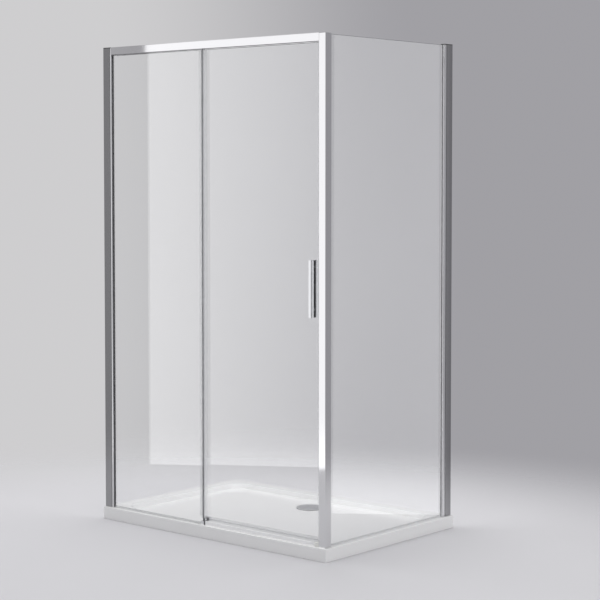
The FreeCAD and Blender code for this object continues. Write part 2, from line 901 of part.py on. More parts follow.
def fixed_edge_seal():
    """Clear seal on the fixed panel's free edge with a fin towards the door."""
    near = glass_setback - seal_wall
    far = glass_back + seal_wall
    grip = fixed_edge_x - seal_grip
    web = fixed_edge_x + seal_wall
    tip = door_setback - edge_fin_gap
    corners = [
        (grip, near), (web, near), (web, glass_back), (web + edge_fin_reach, tip),
        (web + edge_fin_reach - seal_wall, tip), (fixed_edge_x, far), (grip, far), (grip, glass_back),
        (fixed_edge_x, glass_back), (fixed_edge_x, glass_setback), (grip, glass_setback),
    ]
    low = guide_top + overrun
    rise = up(header_rear_bottom - fit_gap - low)
    return prism(corners, lambda x, y: Vector(x, front_plane + y, low), rise)


# Threshold and guide

def threshold_corners(inset):
    """Outline of the threshold's outer faces, drawn in by an inset."""
    near = threshold_setback + inset
    far = threshold_setback + threshold_depth - inset
    high = threshold_top - inset
    return near, far, high


def threshold_rail():
    """Low open strip under the door, falling a little towards the tray."""
    near, far, high = threshold_corners(0)
    low_high = high - threshold_fall
    wall = threshold_wall
    radius = threshold_edge_radius
    corners = [
        (near, tray_top), (near, high, radius), (far, low_high, radius), (far, tray_top),
        (far - wall, tray_top), (far - wall, low_high - wall), (near + wall, high - wall),
        (near + wall, tray_top),
    ]
    length = post_left_x - threshold_block_length - guide_right_x
    return prism(corners, lambda y, z: Vector(guide_right_x, front_plane + y, z), along(length))


def threshold_end_block():
    """Solid end piece between the threshold and the post."""
    near, far, high = threshold_corners(threshold_block_inset)
    low_high = high - threshold_fall
    radius = threshold_edge_radius
    corners = [(near, tray_top), (near, high, radius), (far, low_high, radius), (far, tray_top)]
    start = post_left_x - threshold_block_length
    return prism(corners, lambda y, z: Vector(start, front_plane + y, z), along(threshold_block_length))


def guide_slot():
    """Near and far sides of the slot in the guide's body, liner included."""
    half = glass_half + seal_wall + slide_gap + guide_liner_wall
    return door_centre - half, door_centre + half


def door_guide():
    """Chrome block at the fixed panel's free corner with a jaw for that glass and a slot for the door."""
    near, far = guide_slot()
    first = threshold_setback
    last = first + guide_depth
    slot_floor = tray_top + guide_base
    jaw = glass_back + fit_gap
    front_top = tray_top + guide_front_height
    radius = guide_corner_radius
    corners = [
        (first, tray_top), (first, front_top, radius / 2), (jaw, front_top), (jaw, guide_top, radius / 2),
        (near, guide_top), (near, slot_floor), (far, slot_floor), (far, guide_top),
        (last, guide_top, radius), (last, tray_top),
    ]
    block = prism(corners, lambda y, z: Vector(guide_left_x, front_plane + y, z), along(guide_width))
    glass_slot = box(
        (guide_left_x - overrun, fixed_edge_x + fit_gap),
        (front_plane + glass_setback - fit_gap, front_plane + jaw),
        (glass_bottom, guide_top),
    )
    start, end = guide_screw_axis()
    return block.cut(glass_slot).cut(rod(guide_screw_radius + running_gap, start, end))


def guide_screw_axis():
    """Axis of the grub screw that clamps the fixed glass, from the guide's front."""
    x = (guide_left_x + fixed_edge_x) / 2
    level = tray_top + guide_screw_height
    near = front_plane + threshold_setback - overrun
    return Vector(x, near, level), Vector(x, front_plane + glass_setback, level)


def guide_screw():
    """Grub screw in the guide's front jaw."""
    start, end = guide_screw_axis()
    return rod(guide_screw_radius, Vector(start.x, start.y + overrun + guide_screw_sink, start.z), end)


def guide_liner():
    """Dark plastic liner in the guide's slot."""
    near, far = guide_slot()
    floor = tray_top + guide_base
    wall = guide_liner_wall
    corners = [
        (near, floor), (far, floor), (far, guide_top), (far - wall, guide_top), (far - wall, floor + wall),
        (near + wall, floor + wall), (near + wall, guide_top), (near, guide_top),
    ]
    return prism(corners, lambda y, z: Vector(guide_left_x, front_plane + y, z), along(guide_width))


# Door

def hanger_bolt_xs():
    """Bolt positions of both hangers."""
    half = hanger_bolt_pitch / 2
    return [x + offset for x in hanger_xs for offset in (-half, half)]


def door_glass():
    """Door pane with holes for the hangers and the handle."""
    ys = (front_plane + door_setback, front_plane + door_back)
    pane = box((door_left_x, door_right_x), ys, (door_bottom, glass_top))
    holes = [(x, axle_level) for x in hanger_bolt_xs()]
    holes += [(handle_x, level) for level in handle_screw_levels]
    for x, level in holes:
        start = Vector(x, ys[0] - overrun, level)
        pane = pane.cut(rod(glass_hole_radius, start, Vector(x, ys[1] + overrun, level)))
    return pane


def hanger_sheet(middle_x, start, thickness, centre_hole):
    """Rounded plate of a hanger with its bolt holes and a hole for the axle."""
    half_length = hanger_length / 2
    half_height = hanger_height / 2
    radius = hanger_corner_radius
    corners = [
        (-half_length, -half_height, radius), (half_length, -half_height, radius),
        (half_length, half_height, radius), (-half_length, half_height, radius),
    ]
    travel = Vector(0, thickness, 0)
    sheet = prism(corners, lambda a, b: Vector(middle_x + a, start, axle_level + b), travel)
    half_pitch = hanger_bolt_pitch / 2
    bolt_hole = hanger_bolt_radius + running_gap
    for offset, radius in ((-half_pitch, bolt_hole), (half_pitch, bolt_hole), (0, centre_hole)):
        low = Vector(middle_x + offset, start - overrun, axle_level)
        sheet = sheet.cut(rod(radius, low, low + Vector(0, thickness + 2 * overrun, 0)))
    return sheet


def hanger_start():
    """Front face of the hanger plates, behind their pads."""
    return front_plane + door_back + hanger_pad_thickness


def hanger(side):
    """Hanger plate behind the door glass."""
    return hanger_sheet(hanger_xs[side], hanger_start(), hanger_thickness, axle_radius + running_gap)


def hanger_pads():
    """Thin pads between the glass and the hanger plates."""
    start = front_plane + door_back
    hole = axle_radius + running_gap
    return group(hanger_sheet(x, start, hanger_pad_thickness, hole) for x in hanger_xs)


def hanger_bushes():
    """Flanged bushes that carry the hanger bolts in the glass holes."""
    bushes = []
    back = front_plane + door_back
    front = front_plane + door_setback
    for x in hanger_bolt_xs():
        sleeve = rod(glass_hole_radius - fit_gap, Vector(x, front, axle_level), Vector(x, back, axle_level))
        flange_start = Vector(x, front - bush_flange, axle_level)
        flange = rod(bush_flange_radius, flange_start, Vector(x, front, axle_level))
        bore = rod(hanger_bolt_radius + running_gap, flange_start, Vector(x, back + overrun, axle_level))
        bushes.append(joined([flange, sleeve]).cut(bore))
    return group(bushes)


def hexagon(radius, start, travel):
    """Six-sided prism for a key socket in a screw that points along Y."""
    corners = []
    for index in range(6):
        angle = math.pi * index / 3
        corners.append((radius * math.cos(angle), radius * math.sin(angle)))
    return prism(corners, lambda a, b: Vector(start.x + a, start.y, start.z + b), travel)


def hanger_bolts():
    """Low-headed socket bolts through the glass into the hanger plates."""
    bolts = []
    seat = front_plane + door_setback - bush_flange
    end = hanger_start() + hanger_thickness
    for x in hanger_bolt_xs():
        top = Vector(x, seat - hanger_bolt_head, axle_level)
        head = rod(hanger_bolt_head_radius, top, Vector(x, seat, axle_level))
        shank = rod(hanger_bolt_radius, Vector(x, seat, axle_level), Vector(x, end, axle_level))
        socket = hexagon(hanger_socket_radius, top, Vector(0, hanger_socket_depth, 0))
        bolts.append(joined([head, shank]).cut(socket))
    return group(bolts)


def roller_axles():
    """Pins fixed in the hanger plates, each with a collar and a head that keep its roller in place."""
    axles = []
    plate_back = hanger_start() + hanger_thickness
    near = front_plane + roller_centre - roller_width / 2 - axle_side_gap
    far = front_plane + roller_centre + roller_width / 2 + axle_side_gap
    for x in hanger_xs:
        pin = rod(axle_radius, Vector(x, hanger_start(), axle_level), Vector(x, far, axle_level))
        collar = rod(axle_collar_radius, Vector(x, plate_back, axle_level), Vector(x, near, axle_level))
        head = rod(axle_head_radius, Vector(x, far, axle_level), Vector(x, far + axle_head, axle_level))
        axles.append(joined([pin, collar, head]))
    return group(axles)


def roller_ring(corners, side):
    """Ring turned about a roller's axle from a section of radius and place along the axle."""
    middle = Vector(hanger_xs[side], front_plane + roller_centre, axle_level)
    return turned(corners, middle, Vector(0, 1, 0), Vector(0, 0, 1))


def roller(side):
    """Grooved nylon tyre that runs on the track's bead."""
    half = roller_width / 2
    groove = track_bead_width / 2 + fit_gap
    wide = groove + roller_groove_taper
    bore = bearing_radius + running_gap
    shoulder = roller_flange_radius - roller_edge_bevel
    edge = half - roller_edge_bevel
    corners = [
        (bore, -half), (shoulder, -half), (roller_flange_radius, -edge), (roller_flange_radius, -wide),
        (roller_groove_radius, -groove), (roller_groove_radius, groove), (roller_flange_radius, wide),
        (roller_flange_radius, edge), (shoulder, half), (bore, half),
    ]
    return roller_ring(corners, side)


def roller_bearing(side):
    """Small ball bearing in the roller, with its shields set in between the races."""
    half = roller_width / 2
    inner = axle_radius + running_gap
    shield = half - bearing_recess
    outer = bearing_radius - bearing_race
    one_face = [
        (inner, half), (inner + bearing_race, half), (inner + bearing_race, shield), (outer, shield),
        (outer, half), (bearing_radius, half),
    ]
    other_face = [(radius, -place) for radius, place in reversed(one_face)]
    return roller_ring(one_face + other_face, side)


# Handle

def handle_section(inset, ys, height, radius):
    """Upright bar of the handle between two faces, drawn in by an inset."""
    half = handle_width / 2 - inset
    corners = [
        (-half, ys[0], radius), (half, ys[0], radius), (half, ys[1], radius), (-half, ys[1], radius),
    ]
    low = handle_level - height / 2
    return prism(corners, lambda x, y: Vector(handle_x + x, front_plane + y, low), up(height))


def handle_bar(ys):
    """Handle bar with softened ends."""
    bar = handle_section(0, ys, handle_height, handle_edge_radius)
    for level in (handle_level - handle_height / 2, handle_level + handle_height / 2):
        bar = rounded_at_level(bar, level, handle_end_radius)
    return bar


def handle_point(depth, level):
    """Point on a handle screw's axis."""
    return Vector(handle_x, front_plane + depth, level)


def handle_outer():
    """Outer bar with blind holes for the screws."""
    back = door_setback - handle_gasket
    bar = handle_bar((back - handle_outer_depth, back))
    for level in handle_screw_levels:
        hole = rod(
            handle_screw_radius + running_gap,
            handle_point(back - handle_screw_bite, level),
            handle_point(back + overrun, level),
        )
        bar = bar.cut(hole)
    return bar


def handle_inner():
    """Inner bar with sunk holes for the screw heads."""
    front = door_back + handle_gasket
    back = front + handle_inner_depth
    bar = handle_bar((front, back))
    for level in handle_screw_levels:
        bore = rod(handle_screw_radius + running_gap, handle_point(front, level), handle_point(back, level))
        sink = rod(
            handle_screw_head_radius + running_gap,
            handle_point(back - handle_sink_depth, level),
            handle_point(back + overrun, level),
        )
        bar = bar.cut(bore).cut(sink)
    return bar


def handle_gaskets():
    """Dark strips between the bars and the glass."""
    strips = []
    spans = ((door_setback - handle_gasket, door_setback), (door_back, door_back + handle_gasket))
    for ys in spans:
        strip = handle_section(handle_gasket_inset, ys, handle_height - 2 * handle_gasket_inset, 0)
        for level in handle_screw_levels:
            start = handle_point(ys[0], level)
            strip = strip.cut(rod(handle_screw_radius + running_gap, start, handle_point(ys[1], level)))
        strips.append(strip)
    return group(strips)


def handle_bushes():
    """Sleeves in the door's handle holes."""
    sleeves = []
    for level in handle_screw_levels:
        start = handle_point(door_setback, level)
        end = handle_point(door_back, level)
        sleeve = rod(glass_hole_radius - fit_gap, start, end)
        sleeves.append(sleeve.cut(rod(handle_screw_radius + running_gap, start, end)))
    return group(sleeves)


def handle_screws():
    """Screws from the inner bar through the glass into the outer bar."""
    screws = []
    seat = door_back + handle_gasket + handle_inner_depth - handle_sink_depth
    tip = door_setback - handle_gasket - handle_screw_bite
    for level in handle_screw_levels:
        shank = rod(handle_screw_radius, handle_point(tip, level), handle_point(seat, level))
        head_top = handle_point(seat + handle_screw_head, level)
        head = rod(handle_screw_head_radius, handle_point(seat, level), head_top)
        socket = hexagon(handle_screw_radius, head_top, Vector(0, -handle_screw_head / 2, 0))
        screws.append(joined([shank, head]).cut(socket))
    return group(screws)


# Door seals

def door_left_seal():
    """Clear seal on the door's trailing edge with a fin towards the fixed panel."""
    near = door_setback - seal_wall
    far = door_back + seal_wall
    grip = door_left_x + seal_grip
    web = door_left_x - seal_wall
    tip = glass_back + slide_gap
    lean = (door_setback - glass_back) / 2
    corners = [
        (grip, far), (web, far), (web, near), (web - lean, tip), (web - lean + seal_wall, tip),
        (door_left_x, near), (grip, near), (grip, door_setback), (door_left_x, door_setback),
        (door_left_x, door_back), (grip, door_back),
    ]
    low = door_bottom + bottom_seal_height
    rise = up(header_rear_bottom - fit_gap - low)
    return prism(corners, lambda x, y: Vector(x, front_plane + y, low), rise)


def door_magnet_seal():
    """Clear seal on the door's closing edge with its magnet in a box at the front."""
    near = door_setback - seal_wall
    far = door_back + seal_wall
    half = magnet_width / 2
    grip = door_right_x - seal_grip
    web = door_right_x + seal_wall
    face = web + magnet_head
    corners = [
        (grip, near), (web, near), (web, door_centre - half), (face, door_centre - half),
        (face, door_centre + half), (web, door_centre + half), (web, far), (grip, far),
        (grip, door_back), (door_right_x, door_back), (door_right_x, door_setback), (grip, door_setback),
    ]
    low = door_bottom + bottom_seal_height
    rise = up(header_rear_bottom - fit_gap - low)
    return prism(corners, lambda x, y: Vector(x, front_plane + y, low), rise)


def door_bottom_seal():
    """Drip seal along the door's lower edge with a wiper over the threshold."""
    near = door_setback - seal_wall
    far = door_back + seal_wall
    high = door_bottom + bottom_seal_height - slide_gap
    web = door_bottom - seal_wall
    tip = threshold_top + slide_gap
    wiper_near = door_centre - wiper_width / 2
    wiper_far = door_centre + wiper_width / 2
    corners = [
        (near, high), (near, web), (wiper_near, web), (wiper_near, tip), (wiper_far, tip), (wiper_far, web),
        (far, web), (far, high), (door_back, high), (door_back, door_bottom), (door_setback, door_bottom),
        (door_setback, high),
    ]
    length = door_right_x - door_left_x
    return prism(corners, lambda y, z: Vector(door_left_x, front_plane + y, z), along(length))


# Every node by name

def pieces():
    """All nodes of the enclosure."""
    to_left = Vector(-1, 0, 0)
    to_right = Vector(1, 0, 0)
    to_back = Vector(0, 1, 0)
    gasket_height = header_bottom - tray_top
    side_gasket_height = enclosure_height - side_glass_drop
    return {
        "shower_tray": shower_tray(),
        "waste_flange": waste_flange(),
        "waste_seal": waste_seal(),
        "waste_cover": waste_cover(),
        "wall_channel_left": drilled(drilled_channel(left_place, to_left, to_back), left_bracket_screws()),
        "wall_channel_right": drilled_channel(right_place, to_back, to_left),
        "jamb_left": drilled(jamb(left_place, jamb_mouth_left, to_back), left_bracket_screws()),
        "jamb_right": jamb(right_place, jamb_mouth_right, to_left),
        "channel_cap_left": channel_cap(left_place, jamb_mouth_left),
        "channel_cap_right": channel_cap(right_place, jamb_mouth_right),
        "jamb_screws_left": jamb_screws(left_place, to_back),
        "jamb_screws_right": jamb_screws(right_place, to_left),
        "screw_covers_left": screw_covers(left_place, to_back),
        "screw_covers_right": screw_covers(right_place, to_left),
        "header_rail": header_rail(),
        "header_bracket_left": header_bracket_left(),
        "header_bracket_right": header_bracket_right(),
        "bracket_screws": bracket_screws(),
        "header_end_caps": header_end_caps(),
        "door_stop_left": door_stop_left(),
        "door_stop_right": door_stop_right(),
        "corner_post": corner_post(),
        "post_cap": post_cap(),
        "post_magnet_strip": post_magnet_strip(),
        "post_gasket": gasket_pair(post_glass_place, post_depth, up(side_gasket_height)),
        "fixed_glass": fixed_glass(),
        "fixed_jamb_gasket": gasket_pair(left_place, jamb_mouth_left, up(gasket_height)),
        "header_gasket": header_gasket(),
        "fixed_bottom_seal": fixed_bottom_seal(),
        "fixed_edge_seal": fixed_edge_seal(),
        "side_glass": side_glass(),
        "side_jamb_gasket": gasket_pair(right_place, jamb_mouth_right, up(side_gasket_height)),
        "side_bottom_seal": side_bottom_seal(),
        "threshold_rail": threshold_rail(),
        "threshold_end_block": threshold_end_block(),
        "door_guide": door_guide(),
        "guide_liner": guide_liner(),
        "guide_screw": guide_screw(),
        "door_glass": door_glass(),
        "hanger_left": hanger(0),
        "hanger_right": hanger(1),
        "hanger_pads": hanger_pads(),
        "hanger_bushes": hanger_bushes(),
        "hanger_bolts": hanger_bolts(),
        "roller_axles": roller_axles(),
        "roller_left": roller(0),
        "roller_right": roller(1),
        "roller_bearing_left": roller_bearing(0),
        "roller_bearing_right": roller_bearing(1),
        "handle_outer": handle_outer(),
        "handle_inner": handle_inner(),
        "handle_gaskets": handle_gaskets(),
        "handle_bushes": handle_bushes(),
        "handle_screws": handle_screws(),
        "door_left_seal": door_left_seal(),
        "door_magnet_seal": door_magnet_seal(),
        "door_bottom_seal": door_bottom_seal(),
    }


os.makedirs("parts", exist_ok=True)
for node, shape in pieces().items():
    shape.exportStep("parts/" + node + ".step")
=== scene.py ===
import math

import bpy
from bpy.props import FloatProperty, FloatVectorProperty, IntProperty, PointerProperty
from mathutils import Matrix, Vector


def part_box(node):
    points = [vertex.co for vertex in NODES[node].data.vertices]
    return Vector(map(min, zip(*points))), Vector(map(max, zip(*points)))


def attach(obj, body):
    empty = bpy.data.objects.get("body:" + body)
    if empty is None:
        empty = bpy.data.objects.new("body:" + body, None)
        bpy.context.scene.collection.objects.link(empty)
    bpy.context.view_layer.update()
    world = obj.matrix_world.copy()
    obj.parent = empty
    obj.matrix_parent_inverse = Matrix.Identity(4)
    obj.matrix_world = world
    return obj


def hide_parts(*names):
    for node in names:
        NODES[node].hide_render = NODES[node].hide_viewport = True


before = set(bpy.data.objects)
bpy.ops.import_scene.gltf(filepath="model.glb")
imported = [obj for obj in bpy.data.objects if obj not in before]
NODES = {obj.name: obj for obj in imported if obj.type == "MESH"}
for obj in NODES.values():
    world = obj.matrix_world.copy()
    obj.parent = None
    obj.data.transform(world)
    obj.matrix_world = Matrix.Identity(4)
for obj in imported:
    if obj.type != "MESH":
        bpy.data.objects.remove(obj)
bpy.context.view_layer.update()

bl_info = {
    "name": "Corner shower enclosure",
    "version": (1, 1, 0),
    "blender": (4, 5, 0),
    "location": "View3D > Sidebar > Enclosure",
    "description": "Glass panes, bearings, finishes and studio for a corner shower enclosure",
    "category": "Object",
}

MM = 0.001
X, Y, Z = 0, 1, 2
MERGE_DISTANCE = 0.001 * MM
SMOOTH_ANGLE = math.radians(35)


# Settings

def length(name, description, default):
    """A length setting."""
    return FloatProperty(
        name=name, description=description, default=default, subtype="DISTANCE", unit="LENGTH",
    )


def colour(name, description, default):
    """A colour setting."""
    return FloatVectorProperty(name=name, description=description, default=default, subtype="COLOR")


def level(name, description, default):
    """A plain number setting."""
    return FloatProperty(name=name, description=description, default=default)


def count(name, description, default):
    """A whole number setting."""
    return IntProperty(name=name, description=description, default=default, min=1)


def turn(name, description, degrees):
    """An angle setting."""
    return FloatProperty(
        name=name, description=description, default=math.radians(degrees), subtype="ANGLE", unit="ROTATION",
    )


def lens(name, description, default):
    """A camera length setting, in millimetres."""
    return FloatProperty(name=name, description=description, default=default, unit="CAMERA")


def spot(name, description, default):
    """A place setting."""
    return FloatVectorProperty(name=name, description=description, default=default, subtype="TRANSLATION")


class EnclosureSizes(bpy.types.PropertyGroup):
    """Sizes of the pieces that are modelled here."""

    pane_arris: length("Pane arris", "Width of the ground edge round a pane", 0.8 * MM)
    pane_arris_steps: count("Arris steps", "Segments across a pane's ground edge", 2)
    hole_radius: length("Hole radius", "Radius of the holes in the door pane", 6.0 * MM)
    race: length("Race", "Thickness of a bearing's rings", 0.8 * MM)
    race_bevel: length("Race bevel", "Softened edge of a bearing's rings", 0.15 * MM)
    cage_depth: length("Cage depth", "How far a bearing's cage lies behind its face", 1.0 * MM)
    ball_count: count("Balls", "Balls in a bearing", 9)
    ball_reach: level("Ball reach", "Share of a bearing's width that its balls fill", 0.8)
    hood_length: length("Hood length", "Length of the hood on the threshold's free end", 8.0 * MM)
    hood_skin: length("Hood skin", "How far the hood stands before the threshold", 0.4 * MM)
    hood_rise: length("Hood rise", "How far the hood stands above the threshold", 0.1 * MM)
    hood_fall: length("Hood fall", "Fall of the hood's top towards the tray", 1.0 * MM)
    hood_round: length("Hood round", "Rounded upper edges of the hood", 2.2 * MM)
    hood_lip: length("Hood lip", "Softened rim of the hood", 0.3 * MM)
    magnet_skin: length("Magnet skin", "Thickness of the seal round its magnet bar", 1.0 * MM)
    magnet_width: length("Magnet width", "Width of a magnet bar across the door", 8.0 * MM)
    magnet_depth: length("Magnet depth", "Depth of a magnet bar from the meeting face", 3.0 * MM)
    magnet_bevel: length("Magnet bevel", "Softened edge of a magnet bar", 0.4 * MM)


class EnclosureFinishes(bpy.types.PropertyGroup):
    """Colours of the enclosure's materials."""

    tray: colour("Tray", "Gloss acrylic of the tray", (0.92, 0.92, 0.925))
    profile: colour("Profiles", "Polished aluminium of the frame", (0.75, 0.75, 0.757))
    # The wall channels are the profiles' aluminium in a darker tint: painted shade and dark reflection from
    # the wall beside them.
    channel: colour("Wall channels", "Satin aluminium of the wall channels", (0.36, 0.36, 0.366))
    # The threshold's pale tint is painted reflection of the white tray in bright aluminium.
    threshold: colour("Threshold", "Pale satin strip under the door", (0.95, 0.95, 0.96))
    chrome: colour("Chrome", "Plating of the handle, the guide and the waste", (0.70, 0.705, 0.718))
    glass: colour("Glass", "What passes through one face of a pane", (0.988, 0.990, 0.990))
    glass_mirror: level("Glass mirror", "What one face of a pane mirrors when seen straight on", 0.10)
    # Glass edge and glass foot are one pane edge in two tones: the dark tint is painted shade on the upper
    # and side edges, and the pale one is painted light on the downward edges.
    glass_edge: colour("Glass edge", "Polished free edge of a pane", (0.135, 0.145, 0.15))
    glass_foot: colour("Glass foot", "Ground edge at the foot of a pane", (0.78, 0.80, 0.80))
    seal: colour("Clear seal", "Translucent strip", (0.93, 0.93, 0.955))
    # Partly painted highlight: the strips are real, but their pale tint stands in for the bright line that
    # the jamb's metal lip mirrors beside the side pane.
    pale: colour("Pale gasket", "Soft strips beside the side pane", (0.80, 0.80, 0.82))
    gasket: colour("Gasket", "Black rubber strip", (0.035, 0.036, 0.04))
    # Painted shade: the dark grey strip stands in for the dark line of shade beside the fixed pane, while
    # the matching strips at the side pane are pale.
    jamb_strip: colour("Jamb gasket", "Dark grey strip beside the fixed pane", (0.11, 0.11, 0.115))
    cap: colour("Cap plastic", "Caps of the wall profiles", (0.05, 0.05, 0.052))
    dark: colour("Dark plastic", "Liners and stops", (0.07, 0.07, 0.075))
    grey: colour("Grey plastic", "End pieces and covers", (0.46, 0.46, 0.48))
    nylon: colour("Nylon", "Rollers and bushes", (0.78, 0.78, 0.75))
    steel: colour("Steel", "Screws, hangers and brackets", (0.58, 0.58, 0.60))
    magnet: colour("Magnet", "Magnet bars in the closing seals", (0.66, 0.66, 0.68))


class StudioSettings(bpy.types.PropertyGroup):
    """Floor, backdrop, lamps and camera."""

    floor: colour("Floor", "Floor colour", (0.655, 0.65, 0.675))
    floor_centre: spot("Floor centre", "Middle of the floor", (0.35, -1.0, 0.0))
    floor_radius: length("Floor radius", "Where the floor has faded into the backdrop", 3.2)
    floor_fade: length("Floor fade", "Where the floor starts to fade", 1.45)
    backdrop_pale: colour("Pale backdrop", "Brightest part of the backdrop", (0.62, 0.615, 0.625))
    backdrop_deep: colour("Deep backdrop", "Backdrop away from its brightest part", (0.355, 0.35, 0.372))
    pale_from: level("Pale from", "How far towards its pale side the backdrop starts to lighten", 0.635)
    pale_to: level("Pale to", "How far towards its pale side the backdrop is at its palest", 0.775)
    ambient: level("Ambient", "Even light from all round", 0.50)
    front_radiance: level("Front card", "Brightness of the card that the front mirrors", 0.86)
    flank_radiance: level("Flank card", "Brightness of the card that the side pane mirrors", 0.7)
    overhead_radiance: level("Overhead card", "Brightness of the card that upper faces mirror", 0.85)
    top_radiance: level("Top softbox", "Brightness of the overhead softbox", 3.2)
    side_radiance: level("Side softbox", "Brightness of the side softbox", 1.2)
    camera_place: spot("Camera place", "Where the camera stands", (4.4444, -4.9901, 1.4351))
    camera_azimuth: turn("Camera azimuth", "Turn of the camera from the front", 40.849)
    camera_pitch: turn("Camera pitch", "Tilt of the camera from level", -2.797)
    camera_lens: lens("Lens", "Focal length", 98.95)
    camera_sensor: lens("Sensor", "Sensor width", 36.0)
    camera_rise: level("Rise", "Vertical shift of the frame", -0.08)


# Shader building

class Field:
    """A shader value. Arithmetic on it adds Math nodes."""

    def __init__(self, recipe, socket):
        self.recipe = recipe
        self.socket = socket

    def math(self, operation, *others):
        inputs = dict(enumerate((self, *others)))
        return self.recipe.node("ShaderNodeMath", {"operation": operation}, inputs)

    def __add__(self, other):
        return self.math("ADD", other)

    def __mul__(self, other):
        return self.math("MULTIPLY", other)

    __radd__ = __add__
    __rmul__ = __mul__

    def spread(self, low, high):
        """The value moved from 0..1 to low..high."""
        return self * (high - low) + low

    def step(self, low, high):
        """A smooth step from 0 at low to 1 at high."""
        settings = {"interpolation_type": "SMOOTHSTEP"}
        inputs = {"Value": self, "From Min": low, "From Max": high}
        return self.recipe.node("ShaderNodeMapRange", settings, inputs)


# Sockets of a Mix node that is set to colours
MIX_FACTOR, MIX_FIRST, MIX_SECOND, MIX_COLOUR = 0, 6, 7, 2


class Recipe:
    """A node tree under construction."""

    def __init__(self, tree):
        self.tree = tree
        self.tree.nodes.clear()

    def node(self, kind, settings=None, inputs=None, output=0):
        """Adds a node, sets it up, feeds its sockets and gives one of its outputs."""
        made = self.tree.nodes.new(kind)
        for name, value in (settings or {}).items():
            setattr(made, name, value)
        for name, value in (inputs or {}).items():
            if isinstance(value, Field):
                self.tree.links.new(value.socket, made.inputs[name])
            else:
                made.inputs[name].default_value = value
        return Field(self, made.outputs[output]) if made.outputs else None

    def mixed(self, factor, first, second):
        """A colour between two colours."""
        inputs = {MIX_FACTOR: factor, MIX_FIRST: rgba(first), MIX_SECOND: rgba(second)}
        return self.node("ShaderNodeMix", {"data_type": "RGBA"}, inputs, MIX_COLOUR)

    def tinted(self, factor, tint, darker, lighter):
        """A colour that wanders between a darker and a lighter tone of itself."""
        return self.mixed(factor, shade(tint, darker), shade(tint, lighter))

    def place(self, stretch=(1.0, 1.0, 1.0), centre=(0.0, 0.0, 0.0)):
        """Object coordinates, moved and stretched."""
        spot = self.node("ShaderNodeTexCoord", output="Object")
        shift = tuple(-c * s for c, s in zip(centre, stretch))
        return self.node("ShaderNodeMapping", None, {"Vector": spot, "Location": shift, "Scale": stretch})

    def reach(self, centre=(0.0, 0.0, 0.0), stretch=(1.0, 1.0, 1.0)):
        """Distance from a point."""
        spot = self.place(stretch, centre)
        return self.node("ShaderNodeVectorMath", {"operation": "LENGTH"}, {0: spot}, "Value")

    def noise(self, scale, detail=3.0, stretch=(1.0, 1.0, 1.0), rough=0.5):
        """Soft noise at so many lumps to the metre."""
        inputs = {"Vector": self.place(stretch), "Scale": scale, "Detail": detail, "Roughness": rough}
        return self.node("ShaderNodeTexNoise", None, inputs)

    def drawn(self, along, scale, ratio):
        """Lines drawn out along one axis."""
        stretch = tuple(1.0 if axis == along else ratio for axis in range(3))
        return self.noise(scale, 4.0, stretch, 0.7)

    def bump(self, height, distance, strength=1.0):
        """Surface relief from a height."""
        inputs = {"Height": height, "Distance": distance, "Strength": strength}
        return self.node("ShaderNodeBump", None, inputs)

    def principled(self, **inputs):
        """The main shader; names are the socket names with underscores."""
        named = {name.replace("_", " "): value for name, value in inputs.items()}
        return self.node("ShaderNodeBsdfPrincipled", None, named)

    def clear(self, tint):
        """What lets light straight through."""
        return self.node("ShaderNodeBsdfTransparent", None, {"Color": rgba(tint)})

    def blend(self, factor, first, second):
        """A shader between two shaders."""
        return self.node("ShaderNodeMixShader", None, {0: factor, 1: first, 2: second})

    def end(self, shader, kind="ShaderNodeOutputMaterial"):
        """Ends the tree."""
        self.node(kind, None, {"Surface": shader})


def material(name):
    """A new material and the recipe of its nodes."""
    made = bpy.data.materials.new(name)
    made.use_nodes = True
    return made, Recipe(made.node_tree)


def shade(tint, factor):
    """A colour made lighter or darker."""
    return tuple(min(1.0, channel * factor) for channel in tint)


def rgba(tint):
    return (*tint, 1.0)


# Finishes

# How steeply a pane's mirror grows as it is seen at a glance
GLANCE_POWER = 5.0


def gloss_acrylic(name, tint):
    """White tray: slightly uneven gloss with a faint ripple."""
    made, mix = material(name)
    cloud = mix.noise(3.0)
    ripple = mix.noise(45.0, 2.0)
    mix.end(mix.principled(
        Base_Color=mix.tinted(cloud, tint, 0.985, 1.01),
        Roughness=mix.noise(18.0).spread(0.10, 0.20),
        IOR=1.49,
        Coat_Weight=cloud.spread(0.25, 0.40),
        Coat_Roughness=0.05,
        Normal=mix.bump(ripple, 0.12 * MM, 0.35),
    ))
    return made


def polished_profile(name, tint, along):
    """Bright extrusion with hair-fine draw lines along its length and a few smudges."""
    made, mix = material(name)
    lines = mix.drawn(along, 14.0, 90.0)
    smudge = mix.noise(7.0, 3.0)
    mix.end(mix.principled(
        Base_Color=mix.tinted(lines, tint, 0.98, 1.02),
        Metallic=1.0,
        Roughness=lines.spread(0.03, 0.06) + smudge.spread(0.0, 0.03),
        Normal=mix.bump(lines, 0.005 * MM, 0.15),
    ))
    return made


def shaded_satin_profile(name, tint, along):
    """Matt anodised extrusion with soft draw lines, in a darker tint that is painted shade: the wall it
    stands against shades it and darkens what it mirrors.
    """
    made, mix = material(name)
    lines = mix.drawn(along, 16.0, 110.0)
    cloud = mix.noise(5.0)
    mix.end(mix.principled(
        Base_Color=mix.tinted(lines, tint, 0.97, 1.03),
        Metallic=1.0,
        Roughness=lines.spread(0.10, 0.14) + cloud.spread(0.0, 0.03),
        Normal=mix.bump(lines, 0.008 * MM, 0.2),
    ))
    return made


